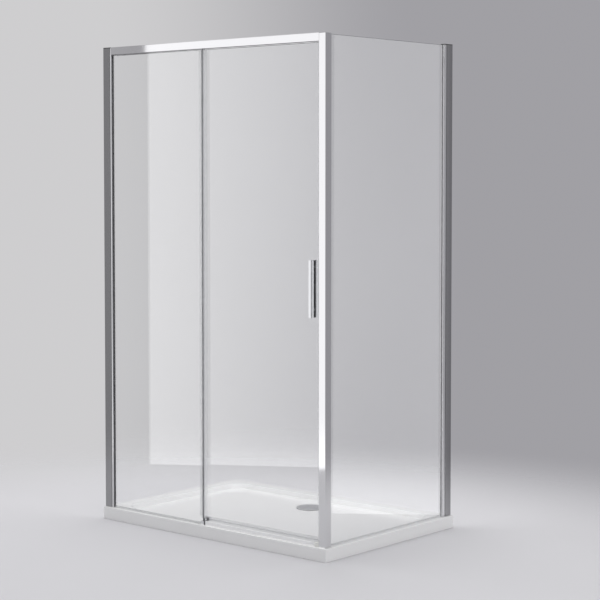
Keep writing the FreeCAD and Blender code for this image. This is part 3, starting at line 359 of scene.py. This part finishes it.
def painted_reflection_satin(name, tint, along):
    """Pale brushed strip, part matt and part bright. Its pale tint is painted reflection: it stands in for
    the white tray mirrored in bright aluminium.
    """
    made, mix = material(name)
    lines = mix.drawn(along, 16.0, 110.0)
    mix.end(mix.principled(
        Base_Color=mix.tinted(lines, tint, 0.97, 1.02),
        Metallic=0.22,
        Roughness=lines.spread(0.16, 0.24),
        Normal=mix.bump(lines, 0.008 * MM, 0.2),
    ))
    return made


def chrome_plate(name, tint):
    """Mirror plating with faint wipe marks."""
    made, mix = material(name)
    wipe = mix.noise(26.0, 4.0, (1.0, 1.0, 0.25))
    mix.end(mix.principled(
        Base_Color=mix.tinted(wipe, tint, 0.97, 1.03),
        Metallic=1.0,
        Roughness=wipe.spread(0.03, 0.10),
        Normal=mix.bump(wipe, 0.02 * MM, 0.2),
    ))
    return made


def turned_lid(name, tint):
    """Waste cover turned on a lathe: fine rings about its middle."""
    made, mix = material(name)
    low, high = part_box("waste_cover")
    far = mix.reach(tuple((low + high) / 2), (1.0, 1.0, 0.0))
    grooves = {"W": far, "Scale": 900.0, "Detail": 3.0}
    rings = mix.node("ShaderNodeTexNoise", {"noise_dimensions": "1D"}, grooves)
    mix.end(mix.principled(
        Base_Color=mix.tinted(rings, tint, 0.92, 1.08),
        Metallic=1.0,
        Roughness=rings.spread(0.24, 0.38),
        Normal=mix.bump(rings, 0.05 * MM, 0.4),
    ))
    return made


def pane_glass(name, tint):
    """Clear pane: see-through, with a mirror skin that grows at a glance."""
    made, mix = material(name)
    film = mix.noise(2.2, 2.0)
    facing = mix.node("ShaderNodeLayerWeight", None, {"Blend": 0.5}, "Facing")
    straight = bpy.context.scene.enclosure_finishes.glass_mirror
    glance = facing.math("POWER", GLANCE_POWER).spread(straight, 1.0)
    mirror = mix.principled(
        Base_Color=rgba((0.97, 0.975, 0.98)),
        Metallic=1.0,
        Roughness=film.spread(0.0, 0.02),
    )
    mix.end(mix.blend(glance + film.spread(0.0, 0.015), mix.clear(tint), mirror))
    return made


def pane_edge(name, tint):
    """Edge of a pane: a little light passes through its fine grain."""
    made, mix = material(name)
    grain = mix.noise(120.0, 3.0)
    solid = mix.principled(
        Base_Color=mix.tinted(grain, tint, 0.85, 1.15),
        Roughness=grain.spread(0.05, 0.14),
        IOR=1.52,
    )
    mix.end(mix.blend(grain.spread(0.72, 0.86), mix.clear((0.76, 0.80, 0.80)), solid))
    return made


def clear_strip(name, tint, along, body):
    """Translucent seal with soft draw lines; body is how much of it can be seen."""
    made, mix = material(name)
    lines = mix.drawn(along, 30.0, 20.0)
    solid = mix.principled(
        Base_Color=mix.tinted(lines, tint, 0.98, 1.02),
        Roughness=lines.spread(0.22, 0.30),
        IOR=1.40,
    )
    mix.end(mix.blend(lines.spread(0.92 * body, 1.08 * body), mix.clear((0.99, 0.99, 0.992)), solid))
    return made


def moulded(name, tint, smooth, matt, grain_scale, grain_depth):
    """Moulded plastic or rubber with a fine grain and a little bloom."""
    made, mix = material(name)
    grain = mix.noise(grain_scale, 3.0)
    bloom = mix.noise(35.0, 3.0)
    mix.end(mix.principled(
        Base_Color=mix.tinted(bloom, tint, 0.88, 1.12),
        Roughness=bloom.spread(smooth, matt),
        Normal=mix.bump(grain, grain_depth, 0.5),
    ))
    return made


def bright_steel(name, tint):
    """Zinc-plated steel with short brush marks."""
    made, mix = material(name)
    marks = mix.noise(60.0, 4.0, (1.0, 8.0, 8.0), 0.65)
    mix.end(mix.principled(
        Base_Color=mix.tinted(marks, tint, 0.88, 1.10),
        Metallic=1.0,
        Roughness=marks.spread(0.20, 0.36),
        Normal=mix.bump(marks, 0.03 * MM, 0.4),
    ))
    return made


FINISHES = {
    "gloss_acrylic": (gloss_acrylic, "tray"),
    "upright_profile": (polished_profile, "profile", Z),
    "level_profile": (polished_profile, "profile", X),
    "wall_channel": (shaded_satin_profile, "channel", Z),
    "threshold_profile": (painted_reflection_satin, "threshold", X),
    "chrome_plate": (chrome_plate, "chrome"),
    "turned_lid": (turned_lid, "chrome"),
    "pane_glass": (pane_glass, "glass"),
    "pane_edge": (pane_edge, "glass_edge"),
    "pane_foot": (pane_edge, "glass_foot"),
    "upright_seal": (clear_strip, "seal", Z, 0.15),
    "front_seal": (clear_strip, "seal", X, 0.11),
    "flank_seal": (clear_strip, "seal", Y, 0.11),
    "pale_gasket": (moulded, "pale", 0.35, 0.5, 900.0, 0.03 * MM),
    "black_gasket": (moulded, "gasket", 0.5, 0.75, 900.0, 0.05 * MM),
    "jamb_gasket": (moulded, "jamb_strip", 0.5, 0.75, 900.0, 0.05 * MM),
    "cap_plastic": (moulded, "cap", 0.35, 0.5, 1400.0, 0.06 * MM),
    "dark_plastic": (moulded, "dark", 0.4, 0.6, 1400.0, 0.06 * MM),
    "grey_plastic": (moulded, "grey", 0.35, 0.55, 1400.0, 0.06 * MM),
    "white_nylon": (moulded, "nylon", 0.3, 0.5, 1100.0, 0.04 * MM),
    "magnet_bar": (moulded, "magnet", 0.45, 0.65, 1600.0, 0.05 * MM),
    "bright_steel": (bright_steel, "steel"),
}


def finish(name):
    """The finish of that name, made when it is first asked for."""
    found = bpy.data.materials.get(name)
    if found:
        return found
    maker, tint, *rest = FINISHES[name]
    return maker(name, getattr(bpy.context.scene.enclosure_finishes, tint), *rest)


def dress(piece, *names):
    """Gives a piece its finishes."""
    piece.data.materials.clear()
    for name in names:
        piece.data.materials.append(finish(name))


def dress_nodes(name, *nodes):
    """Gives nodes that stay as they are their finish."""
    for node in nodes:
        dress(NODES[node], name)


# Modelling helpers

# Points of a node that are nearer than this to each other belong to one of its solids
SOLID_REACH = 18 * MM


def deselect():
    """Nothing selected, nothing in edit mode."""
    if bpy.context.object and bpy.context.object.mode != "OBJECT":
        bpy.ops.object.mode_set(mode="OBJECT")
    bpy.ops.object.select_all(action="DESELECT")


def pick(*pieces):
    """Selects pieces; the first is the active one."""
    deselect()
    for piece in pieces:
        piece.select_set(True)
    bpy.context.view_layer.objects.active = pieces[0]


def adopt(name):
    """Names the piece that an operator has just made."""
    piece = bpy.context.object
    piece.name = name
    piece.data.name = name
    return piece


def settle(piece):
    """Puts the piece's place into its mesh."""
    pick(piece)
    bpy.ops.object.transform_apply(location=True, rotation=True, scale=True)
    return piece


def block(name, low, high):
    """A block between two corners."""
    deselect()
    bpy.ops.mesh.primitive_cube_add(size=1.0, location=(low + high) / 2)
    piece = adopt(name)
    piece.scale = high - low
    return settle(piece)


def choose(piece, test):
    """Enters edit mode with those edges selected whose two ends pass a test."""
    pick(piece)
    bpy.ops.object.mode_set(mode="EDIT")
    bpy.ops.mesh.select_mode(type="EDGE")
    bpy.ops.mesh.select_all(action="DESELECT")
    bpy.ops.object.mode_set(mode="OBJECT")
    points = piece.data.vertices
    for edge in piece.data.edges:
        edge.select = all(test(points[index].co) for index in edge.vertices)
    bpy.ops.object.mode_set(mode="EDIT")


def bevel_all(piece, width, steps):
    """Bevels every edge of a piece."""
    pick(piece)
    bpy.ops.object.mode_set(mode="EDIT")
    bpy.ops.mesh.select_all(action="SELECT")
    bpy.ops.mesh.bevel(offset=width, segments=steps, affect="EDGES")
    bpy.ops.object.mode_set(mode="OBJECT")


def turned(name, profile, steps=40):
    """A closed ring about Z, drawn out from one (radius, height) point of its profile to the next."""
    deselect()
    radius, height = profile[0]
    bpy.ops.mesh.primitive_circle_add(vertices=steps, radius=radius, location=(0.0, 0.0, height))
    piece = settle(adopt(name))
    bpy.ops.object.mode_set(mode="EDIT")
    bpy.ops.mesh.select_all(action="SELECT")
    for next_radius, next_height in (*profile[1:], profile[0]):
        rise = {"value": (0.0, 0.0, next_height - height)}
        bpy.ops.mesh.extrude_region_move(TRANSFORM_OT_translate=rise)
        share = next_radius / radius
        bpy.ops.transform.resize(value=(share, share, 1.0), center_override=(0.0, 0.0, next_height))
        radius, height = next_radius, next_height
    bpy.ops.mesh.select_all(action="SELECT")
    bpy.ops.mesh.remove_doubles(threshold=MERGE_DISTANCE)
    bpy.ops.mesh.normals_make_consistent(inside=False)
    bpy.ops.object.mode_set(mode="OBJECT")
    bpy.ops.object.shade_smooth_by_angle(angle=SMOOTH_ANGLE)
    return piece


def drill(piece, centre, radius, depth):
    """Cuts a round hole along Y."""
    deselect()
    bpy.ops.mesh.primitive_cylinder_add(
        vertices=32, radius=radius, depth=depth, location=centre, rotation=(math.pi / 2, 0.0, 0.0),
    )
    tool = settle(adopt("drill"))
    pick(piece)
    cut = piece.modifiers.new("hole", "BOOLEAN")
    cut.operation = "DIFFERENCE"
    cut.solver = "EXACT"
    cut.object = tool
    bpy.ops.object.modifier_apply(modifier=cut.name)
    bpy.data.objects.remove(tool)


def copied(piece, name, shift):
    """A copy of a piece with a mesh of its own, moved aside."""
    pick(piece)
    bpy.ops.object.duplicate()
    bpy.ops.transform.translate(value=shift)
    return settle(adopt(name))


def joined(*pieces):
    """One piece from several."""
    pick(*pieces)
    bpy.ops.object.join()
    return bpy.context.object


def finished(piece, body, slot, *replaced):
    """Ties a piece to its body and to the nodes that it stands for."""
    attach(piece, body)
    if replaced:
        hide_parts(*replaced)


def island_centres(node):
    """X and Z of each separate solid of a node, found by gathering its points into clusters."""
    clusters = []
    for vertex in NODES[node].data.vertices:
        spot = Vector((vertex.co.x, vertex.co.z))
        near = [cluster for cluster in clusters if (cluster[0] - spot).length < SOLID_REACH]
        if near:
            near[0].append(spot)
        else:
            clusters.append([spot])
    centres = []
    for cluster in clusters:
        xs = [spot.x for spot in cluster]
        zs = [spot.y for spot in cluster]
        centres.append(((min(xs) + max(xs)) / 2, (min(zs) + max(zs)) / 2))
    return centres


# Pieces

# A face that looks less than this across its pane is part of the pane's edge
PANE_FACING = 0.99
# An edge face that looks down at least this much is part of the pane's foot
FOOT_FACING = -0.5
# Places of the edge's and the foot's finish among a pane's finishes
PANE_EDGE, PANE_FOOT = 1, 2
# Length of the drill in thicknesses of the pane
DRILL_LENGTH = 3


class TrayOperator(bpy.types.Operator):
    """Finish the tray and its waste"""

    bl_idname = "enclosure.tray"
    bl_label = "Tray and waste"

    def execute(self, context):
        dress_nodes("gloss_acrylic", "shower_tray")
        dress_nodes("turned_lid", "waste_cover")
        dress_nodes("chrome_plate", "waste_flange")
        dress_nodes("black_gasket", "waste_seal")
        return {"FINISHED"}


class WallProfilesOperator(bpy.types.Operator):
    """Finish the two wall profiles with their caps, screws and covers"""

    bl_idname = "enclosure.wall_profiles"
    bl_label = "Wall profiles"

    def execute(self, context):
        for side in ("left", "right"):
            dress_nodes("wall_channel", f"wall_channel_{side}")
            dress_nodes("upright_profile", f"jamb_{side}")
            dress_nodes("cap_plastic", f"channel_cap_{side}")
            dress_nodes("grey_plastic", f"screw_covers_{side}")
            dress_nodes("bright_steel", f"jamb_screws_{side}")
        return {"FINISHED"}


class HeaderOperator(bpy.types.Operator):
    """Finish the header with its brackets, end caps and door stops"""

    bl_idname = "enclosure.header"
    bl_label = "Header and track"

    def execute(self, context):
        dress_nodes("level_profile", "header_rail")
        dress_nodes("bright_steel", "header_bracket_left", "header_bracket_right", "bracket_screws")
        dress_nodes("dark_plastic", "header_end_caps", "door_stop_left", "door_stop_right")
        return {"FINISHED"}


class PostOperator(bpy.types.Operator):
    """Finish the corner post and its cap"""

    bl_idname = "enclosure.post"
    bl_label = "Corner post"

    def execute(self, context):
        dress_nodes("upright_profile", "corner_post")
        dress_nodes("grey_plastic", "post_cap")
        return {"FINISHED"}


class PanesOperator(bpy.types.Operator):
    """Model the three glass panes with ground edges and the door's holes"""

    bl_idname = "enclosure.panes"
    bl_label = "Glass panes"

    def execute(self, context):
        sizes = context.scene.enclosure_sizes
        panes = (
            ("fixed_pane", "fixed_glass", "enclosure", Y),
            ("side_pane", "side_glass", "enclosure", X),
            ("door_pane", "door_glass", "door", Y),
        )
        for name, node, body, across in panes:
            low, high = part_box(node)
            pane = block(name, low, high)
            bevel_all(pane, sizes.pane_arris, sizes.pane_arris_steps)
            if node == "door_glass":
                depth = DRILL_LENGTH * (high.y - low.y)
                self.pierce(pane, (low.y + high.y) / 2, depth, sizes.hole_radius)
            dress(pane, "pane_glass", "pane_edge", "pane_foot")
            for polygon in pane.data.polygons:
                if abs(polygon.normal[across]) < PANE_FACING:
                    # Downward edge faces take the pale foot, which is painted light; the rest take the dark
                    # edge, which is painted shade
                    down = polygon.normal.z < FOOT_FACING
                    polygon.material_index = PANE_FOOT if down else PANE_EDGE
            finished(pane, body, "clear_glass", node)
        return {"FINISHED"}

    def pierce(self, pane, middle, depth, radius):
        """Drills the door for its hanger bolts and handle screws."""
        for node in ("hanger_bushes", "handle_bushes"):
            for x, z in island_centres(node):
                drill(pane, (x, middle, z), radius, depth)


class SealsOperator(bpy.types.Operator):
    """Finish the seals and gaskets and model the magnet bars in the closing seals"""

    bl_idname = "enclosure.seals"
    bl_label = "Seals and gaskets"

    def execute(self, context):
        dress_nodes("jamb_gasket", "fixed_jamb_gasket")
        dress_nodes("pale_gasket", "side_jamb_gasket", "post_gasket")
        dress_nodes("upright_seal", "fixed_edge_seal", "door_left_seal")
        dress_nodes("upright_seal", "door_magnet_seal", "post_magnet_strip")
        dress_nodes("front_seal", "header_gasket", "fixed_bottom_seal", "door_bottom_seal")
        dress_nodes("flank_seal", "side_bottom_seal")
        sizes = context.scene.enclosure_sizes
        self.magnet("door_magnet_bar", "door_magnet_seal", "door", 1, sizes)
        self.magnet("post_magnet_bar", "post_magnet_strip", "enclosure", -1, sizes)
        return {"FINISHED"}

    def magnet(self, name, node, body, facing, sizes):
        """A bar just inside the seal's meeting face, which looks along X in the facing direction."""
        low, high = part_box(node)
        face = high.x if facing > 0 else low.x
        near = face - facing * sizes.magnet_skin
        far = near - facing * sizes.magnet_depth
        middle = (low.y + high.y) / 2
        half = sizes.magnet_width / 2
        bar = block(
            name,
            Vector((min(near, far), middle - half, low.z + sizes.magnet_skin)),
            Vector((max(near, far), middle + half, high.z - sizes.magnet_skin)),
        )
        bevel_all(bar, sizes.magnet_bevel, 2)
        dress(bar, "magnet_bar")
        finished(bar, body, "grey_plastic")


class ThresholdOperator(bpy.types.Operator):
    """Finish the threshold and the door guide and model the hood on the threshold's free end"""

    bl_idname = "enclosure.threshold"
    bl_label = "Threshold and door guide"

    def execute(self, context):
        dress_nodes("threshold_profile", "threshold_rail")
        dress_nodes("white_nylon", "threshold_end_block")
        dress_nodes("chrome_plate", "door_guide")
        dress_nodes("dark_plastic", "guide_liner")
        dress_nodes("bright_steel", "guide_screw")
        self.hood(context.scene.enclosure_sizes)
        return {"FINISHED"}

    def hood(self, sizes):
        """Dark end piece slipped over the rail, with the rail's fall and rounded upper edges."""
        low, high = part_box("threshold_rail")
        near = Vector((low.x, low.y - sizes.hood_skin, low.z))
        far = Vector((low.x + sizes.hood_length, high.y, high.z + sizes.hood_rise))
        hood = block("threshold_hood", near, far)
        middle = (near + far) / 2
        choose(hood, lambda point: point.y > middle.y and point.z > middle.z)
        bpy.ops.transform.translate(value=(0.0, 0.0, -sizes.hood_fall))
        for side in (-1, 1):
            choose(hood, lambda point: side * (point.y - middle.y) > 0 and point.z > middle.z)
            bpy.ops.mesh.bevel(offset=sizes.hood_round, segments=5, affect="EDGES")
        choose(hood, lambda point: point.x > middle.x and point.z > near.z + sizes.hood_lip)
        bpy.ops.mesh.bevel(offset=sizes.hood_lip, segments=2, affect="EDGES")
        bpy.ops.object.mode_set(mode="OBJECT")
        bpy.ops.object.shade_smooth_by_angle(angle=SMOOTH_ANGLE)
        dress(hood, "dark_plastic")
        finished(hood, "enclosure", "dark_plastic")


class CarriagesOperator(bpy.types.Operator):
    """Finish the roller carriages and model their ball bearings"""

    bl_idname = "enclosure.carriages"
    bl_label = "Roller carriages"

    def execute(self, context):
        sizes = context.scene.enclosure_sizes
        dress_nodes("bright_steel", "hanger_left", "hanger_right", "hanger_bolts", "roller_axles")
        dress_nodes("black_gasket", "hanger_pads")
        dress_nodes("white_nylon", "hanger_bushes", "roller_left", "roller_right")
        left = self.bearing("ball_bearing_left", "roller_bearing_left", sizes)
        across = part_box("roller_bearing_right")[0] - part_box("roller_bearing_left")[0]
        right = copied(left, "ball_bearing_right", across)
        finished(left, "left_wheel", "steel", "roller_bearing_left")
        finished(right, "right_wheel", "steel", "roller_bearing_right")
        return {"FINISHED"}

    def bearing(self, name, node, sizes):
        """Two rings with balls and a cage between them, about Y."""
        low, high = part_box(node)
        centre = (low + high) / 2
        outer = (high.x - low.x) / 2
        half = (high.y - low.y) / 2
        points = (vertex.co - centre for vertex in NODES[node].data.vertices)
        inner = min(Vector((point.x, point.z)).length for point in points)
        rings = []
        for near, far in ((inner, inner + sizes.race), (outer - sizes.race, outer)):
            rings.append(turned("race", ring_profile(near, far, half, sizes.race_bevel)))
        pitch = (inner + outer) / 2
        ball = (outer - inner) / 2 - sizes.race
        rim = half - sizes.cage_depth
        cage = turned("cage", ring_profile(pitch - ball / 2, pitch + ball / 2, rim, sizes.race_bevel))
        balls = self.balls(sizes.ball_count, pitch, ball, sizes.ball_reach * half)
        dress(cage, "white_nylon")
        for piece in (*rings, balls):
            dress(piece, "bright_steel")
        whole = joined(*rings, balls, cage)
        whole.name = name
        whole.data.name = name
        whole.rotation_euler = (math.pi / 2, 0.0, 0.0)
        whole.location = centre
        return settle(whole)

    def balls(self, count, pitch, radius, reach):
        """The ring of rolling elements: one is shaped and turned about the middle."""
        deselect()
        bpy.ops.mesh.primitive_uv_sphere_add(
            segments=16, ring_count=8, radius=radius, location=(pitch, 0.0, 0.0),
        )
        piece = adopt("balls")
        piece.scale = (1.0, 1.0, reach / radius)
        settle(piece)
        bpy.ops.object.mode_set(mode="EDIT")
        bpy.ops.mesh.select_all(action="SELECT")
        bpy.ops.mesh.spin(
            steps=count, dupli=True, angle=2 * math.pi, center=(0.0, 0.0, 0.0), axis=(0.0, 0.0, 1.0),
        )
        bpy.ops.mesh.select_all(action="SELECT")
        bpy.ops.mesh.remove_doubles(threshold=MERGE_DISTANCE)
        bpy.ops.mesh.normals_make_consistent(inside=False)
        bpy.ops.object.mode_set(mode="OBJECT")
        bpy.ops.object.shade_smooth()
        return piece


def ring_profile(near, far, half, soft):
    """Outline of a ring with softened corners, as (radius, height) points."""
    return (
        (near, -half + soft), (near + soft, -half), (far - soft, -half), (far, -half + soft),
        (far, half - soft), (far - soft, half), (near + soft, half), (near, half - soft),
    )


class HandleOperator(bpy.types.Operator):
    """Finish the clamp handle with its gaskets, bushes and screws"""

    bl_idname = "enclosure.handle"
    bl_label = "Handle"

    def execute(self, context):
        dress_nodes("chrome_plate", "handle_outer", "handle_inner")
        dress_nodes("black_gasket", "handle_gaskets")
        dress_nodes("white_nylon", "handle_bushes")
        dress_nodes("bright_steel", "handle_screws")
        return {"FINISHED"}


# Stage

# Direction of the backdrop's pale side
PALE_SIDE = (-0.999, 0.05, 0.0)
# Beam of a lamp that shines to all sides, and of one behind a grid
FULL_BEAM = math.pi
GRID_BEAM = math.pi / 2
# Place, target, width, height and beam of each card and softbox; its brightness is a studio setting
CARDS = {
    "front": ((-0.53, -1.905, 1.5), (0.453, -0.3925, 1.5), 2.0, 3.0, FULL_BEAM),
    "flank": ((0.972, 0.496, 1.5), (0.360, -0.295, 1.568), 0.45, 3.0, GRID_BEAM),
    "overhead": ((-0.45, 0.11, 4.8), (0.0, 0.0, 0.0), 4.6, 4.6, FULL_BEAM),
}
SOFTBOXES = {
    "top": ((-0.4, 0.1, 4.3), (0.0, 0.0, 0.0), 3.6, 3.6, FULL_BEAM),
    "side": ((4.6, 0.4, 1.7), (0.0, -0.2, 0.95), 2.6, 2.6, FULL_BEAM),
}


def fading_floor(name, studio):
    """Pale floor that melts into the backdrop with distance."""
    made, mix = material(name)
    fade = mix.reach(studio.floor_centre).step(studio.floor_fade, studio.floor_radius)
    cloud = mix.noise(1.5, 2.0)
    solid = mix.principled(
        Base_Color=mix.tinted(cloud, studio.floor, 0.985, 1.015),
        Roughness=cloud.spread(0.55, 0.65),
        Specular_IOR_Level=0.0,
    )
    mix.end(mix.blend(fade, solid, mix.clear((1.0, 1.0, 1.0))))
    return made


def studio_world(studio):
    """Plain backdrop for what is seen and mirrored, even light for the rest."""
    world = bpy.data.worlds.new("studio")
    world.use_nodes = True
    mix = Recipe(world.node_tree)
    toward = mix.node("ShaderNodeTexCoord", output="Generated")
    product = {"operation": "DOT_PRODUCT"}
    along = mix.node("ShaderNodeVectorMath", product, {0: toward, 1: PALE_SIDE}, "Value")
    seen = mix.node("ShaderNodeLightPath", output="Is Camera Ray")
    for ray in ("Is Glossy Ray", "Is Transmission Ray"):
        seen = seen.math("MAXIMUM", mix.node("ShaderNodeLightPath", output=ray))
    pale = along.step(studio.pale_from, studio.pale_to)
    tint = mix.mixed(pale, studio.backdrop_deep, studio.backdrop_pale)
    backdrop = mix.node("ShaderNodeBackground", None, {"Color": tint})
    white = {"Color": rgba((1.0, 1.0, 1.0)), "Strength": studio.ambient}
    even = mix.node("ShaderNodeBackground", None, white)
    mix.end(mix.blend(seen, even, backdrop), "ShaderNodeOutputWorld")
    bpy.context.scene.world = world


def softbox(name, radiance, place, target, width, height, beam):
    """A rectangular lamp turned towards a point and never mirrored."""
    half_beam = beam / 2
    # A narrow beam gathers its energy, so it gets less of it to be as bright straight on
    beam_share = 1 - half_beam / math.tan(half_beam)
    deselect()
    aim = (Vector(target) - Vector(place)).to_track_quat("-Z", "Y").to_euler()
    bpy.ops.object.light_add(type="AREA", location=place, rotation=aim)
    lamp = bpy.context.object
    lamp.name = name
    lamp.data.shape = "RECTANGLE"
    lamp.data.size = width
    lamp.data.size_y = height
    lamp.data.spread = beam
    lamp.data.energy = radiance * beam_share * math.pi * width * height
    lamp.visible_camera = False
    lamp.visible_glossy = False
    return lamp


def card(name, radiance, *setting):
    """A pale card that is only mirrored and throws no light."""
    lamp = softbox(name, radiance, *setting)
    lamp.visible_glossy = True
    lamp.visible_diffuse = False
    lamp.visible_transmission = False


class StageOperator(bpy.types.Operator):
    """Set the floor, the backdrop, the lamps and the camera"""

    bl_idname = "enclosure.stage"
    bl_label = "Stage"

    def execute(self, context):
        studio = context.scene.enclosure_studio
        scene = context.scene
        deselect()
        bpy.ops.mesh.primitive_circle_add(
            vertices=96, radius=studio.floor_radius, fill_type="NGON", location=studio.floor_centre,
        )
        floor = settle(adopt("studio_floor"))
        floor.data.materials.append(fading_floor("studio_floor", studio))
        studio_world(studio)
        for name, setting in CARDS.items():
            card(f"{name}_card", getattr(studio, f"{name}_radiance"), *setting)
        for name, setting in SOFTBOXES.items():
            softbox(f"{name}_softbox", getattr(studio, f"{name}_radiance"), *setting)
        deselect()
        tilt = (math.pi / 2 + studio.camera_pitch, 0.0, studio.camera_azimuth)
        bpy.ops.object.camera_add(location=studio.camera_place, rotation=tilt)
        camera = context.object
        camera.data.lens = studio.camera_lens
        camera.data.sensor_width = studio.camera_sensor
        camera.data.shift_y = studio.camera_rise
        scene.camera = camera
        scene.view_settings.view_transform = "Standard"
        return {"FINISHED"}


class EnclosurePanel(bpy.types.Panel):
    """Lists the steps of the enclosure's visual model"""

    bl_idname = "VIEW3D_PT_enclosure"
    bl_label = "Shower enclosure"
    bl_space_type = "VIEW_3D"
    bl_region_type = "UI"
    bl_category = "Enclosure"

    def draw(self, context):
        for operator in OPERATORS:
            self.layout.operator(operator.bl_idname)
        for name in GROUPS:
            settings = getattr(context.scene, name)
            box = self.layout.box()
            for setting in settings.__annotations__:
                box.prop(settings, setting)


OPERATORS = (
    TrayOperator, WallProfilesOperator, HeaderOperator, PostOperator, PanesOperator, SealsOperator,
    ThresholdOperator, CarriagesOperator, HandleOperator, StageOperator,
)
GROUPS = {
    "enclosure_sizes": EnclosureSizes,
    "enclosure_finishes": EnclosureFinishes,
    "enclosure_studio": StudioSettings,
}


def register():
    for name, group in GROUPS.items():
        bpy.utils.register_class(group)
        setattr(bpy.types.Scene, name, PointerProperty(type=group))
    for operator in OPERATORS:
        bpy.utils.register_class(operator)
    bpy.utils.register_class(EnclosurePanel)


def unregister():
    bpy.utils.unregister_class(EnclosurePanel)
    for operator in reversed(OPERATORS):
        bpy.utils.unregister_class(operator)
    for name, group in GROUPS.items():
        delattr(bpy.types.Scene, name)
        bpy.utils.unregister_class(group)


def main():
    register()
    bpy.ops.enclosure.tray()
    bpy.ops.enclosure.wall_profiles()
    bpy.ops.enclosure.header()
    bpy.ops.enclosure.post()
    bpy.ops.enclosure.panes()
    bpy.ops.enclosure.seals()
    bpy.ops.enclosure.threshold()
    bpy.ops.enclosure.carriages()
    bpy.ops.enclosure.handle()
    bpy.ops.enclosure.stage()


if __name__ == "__main__":
    main()
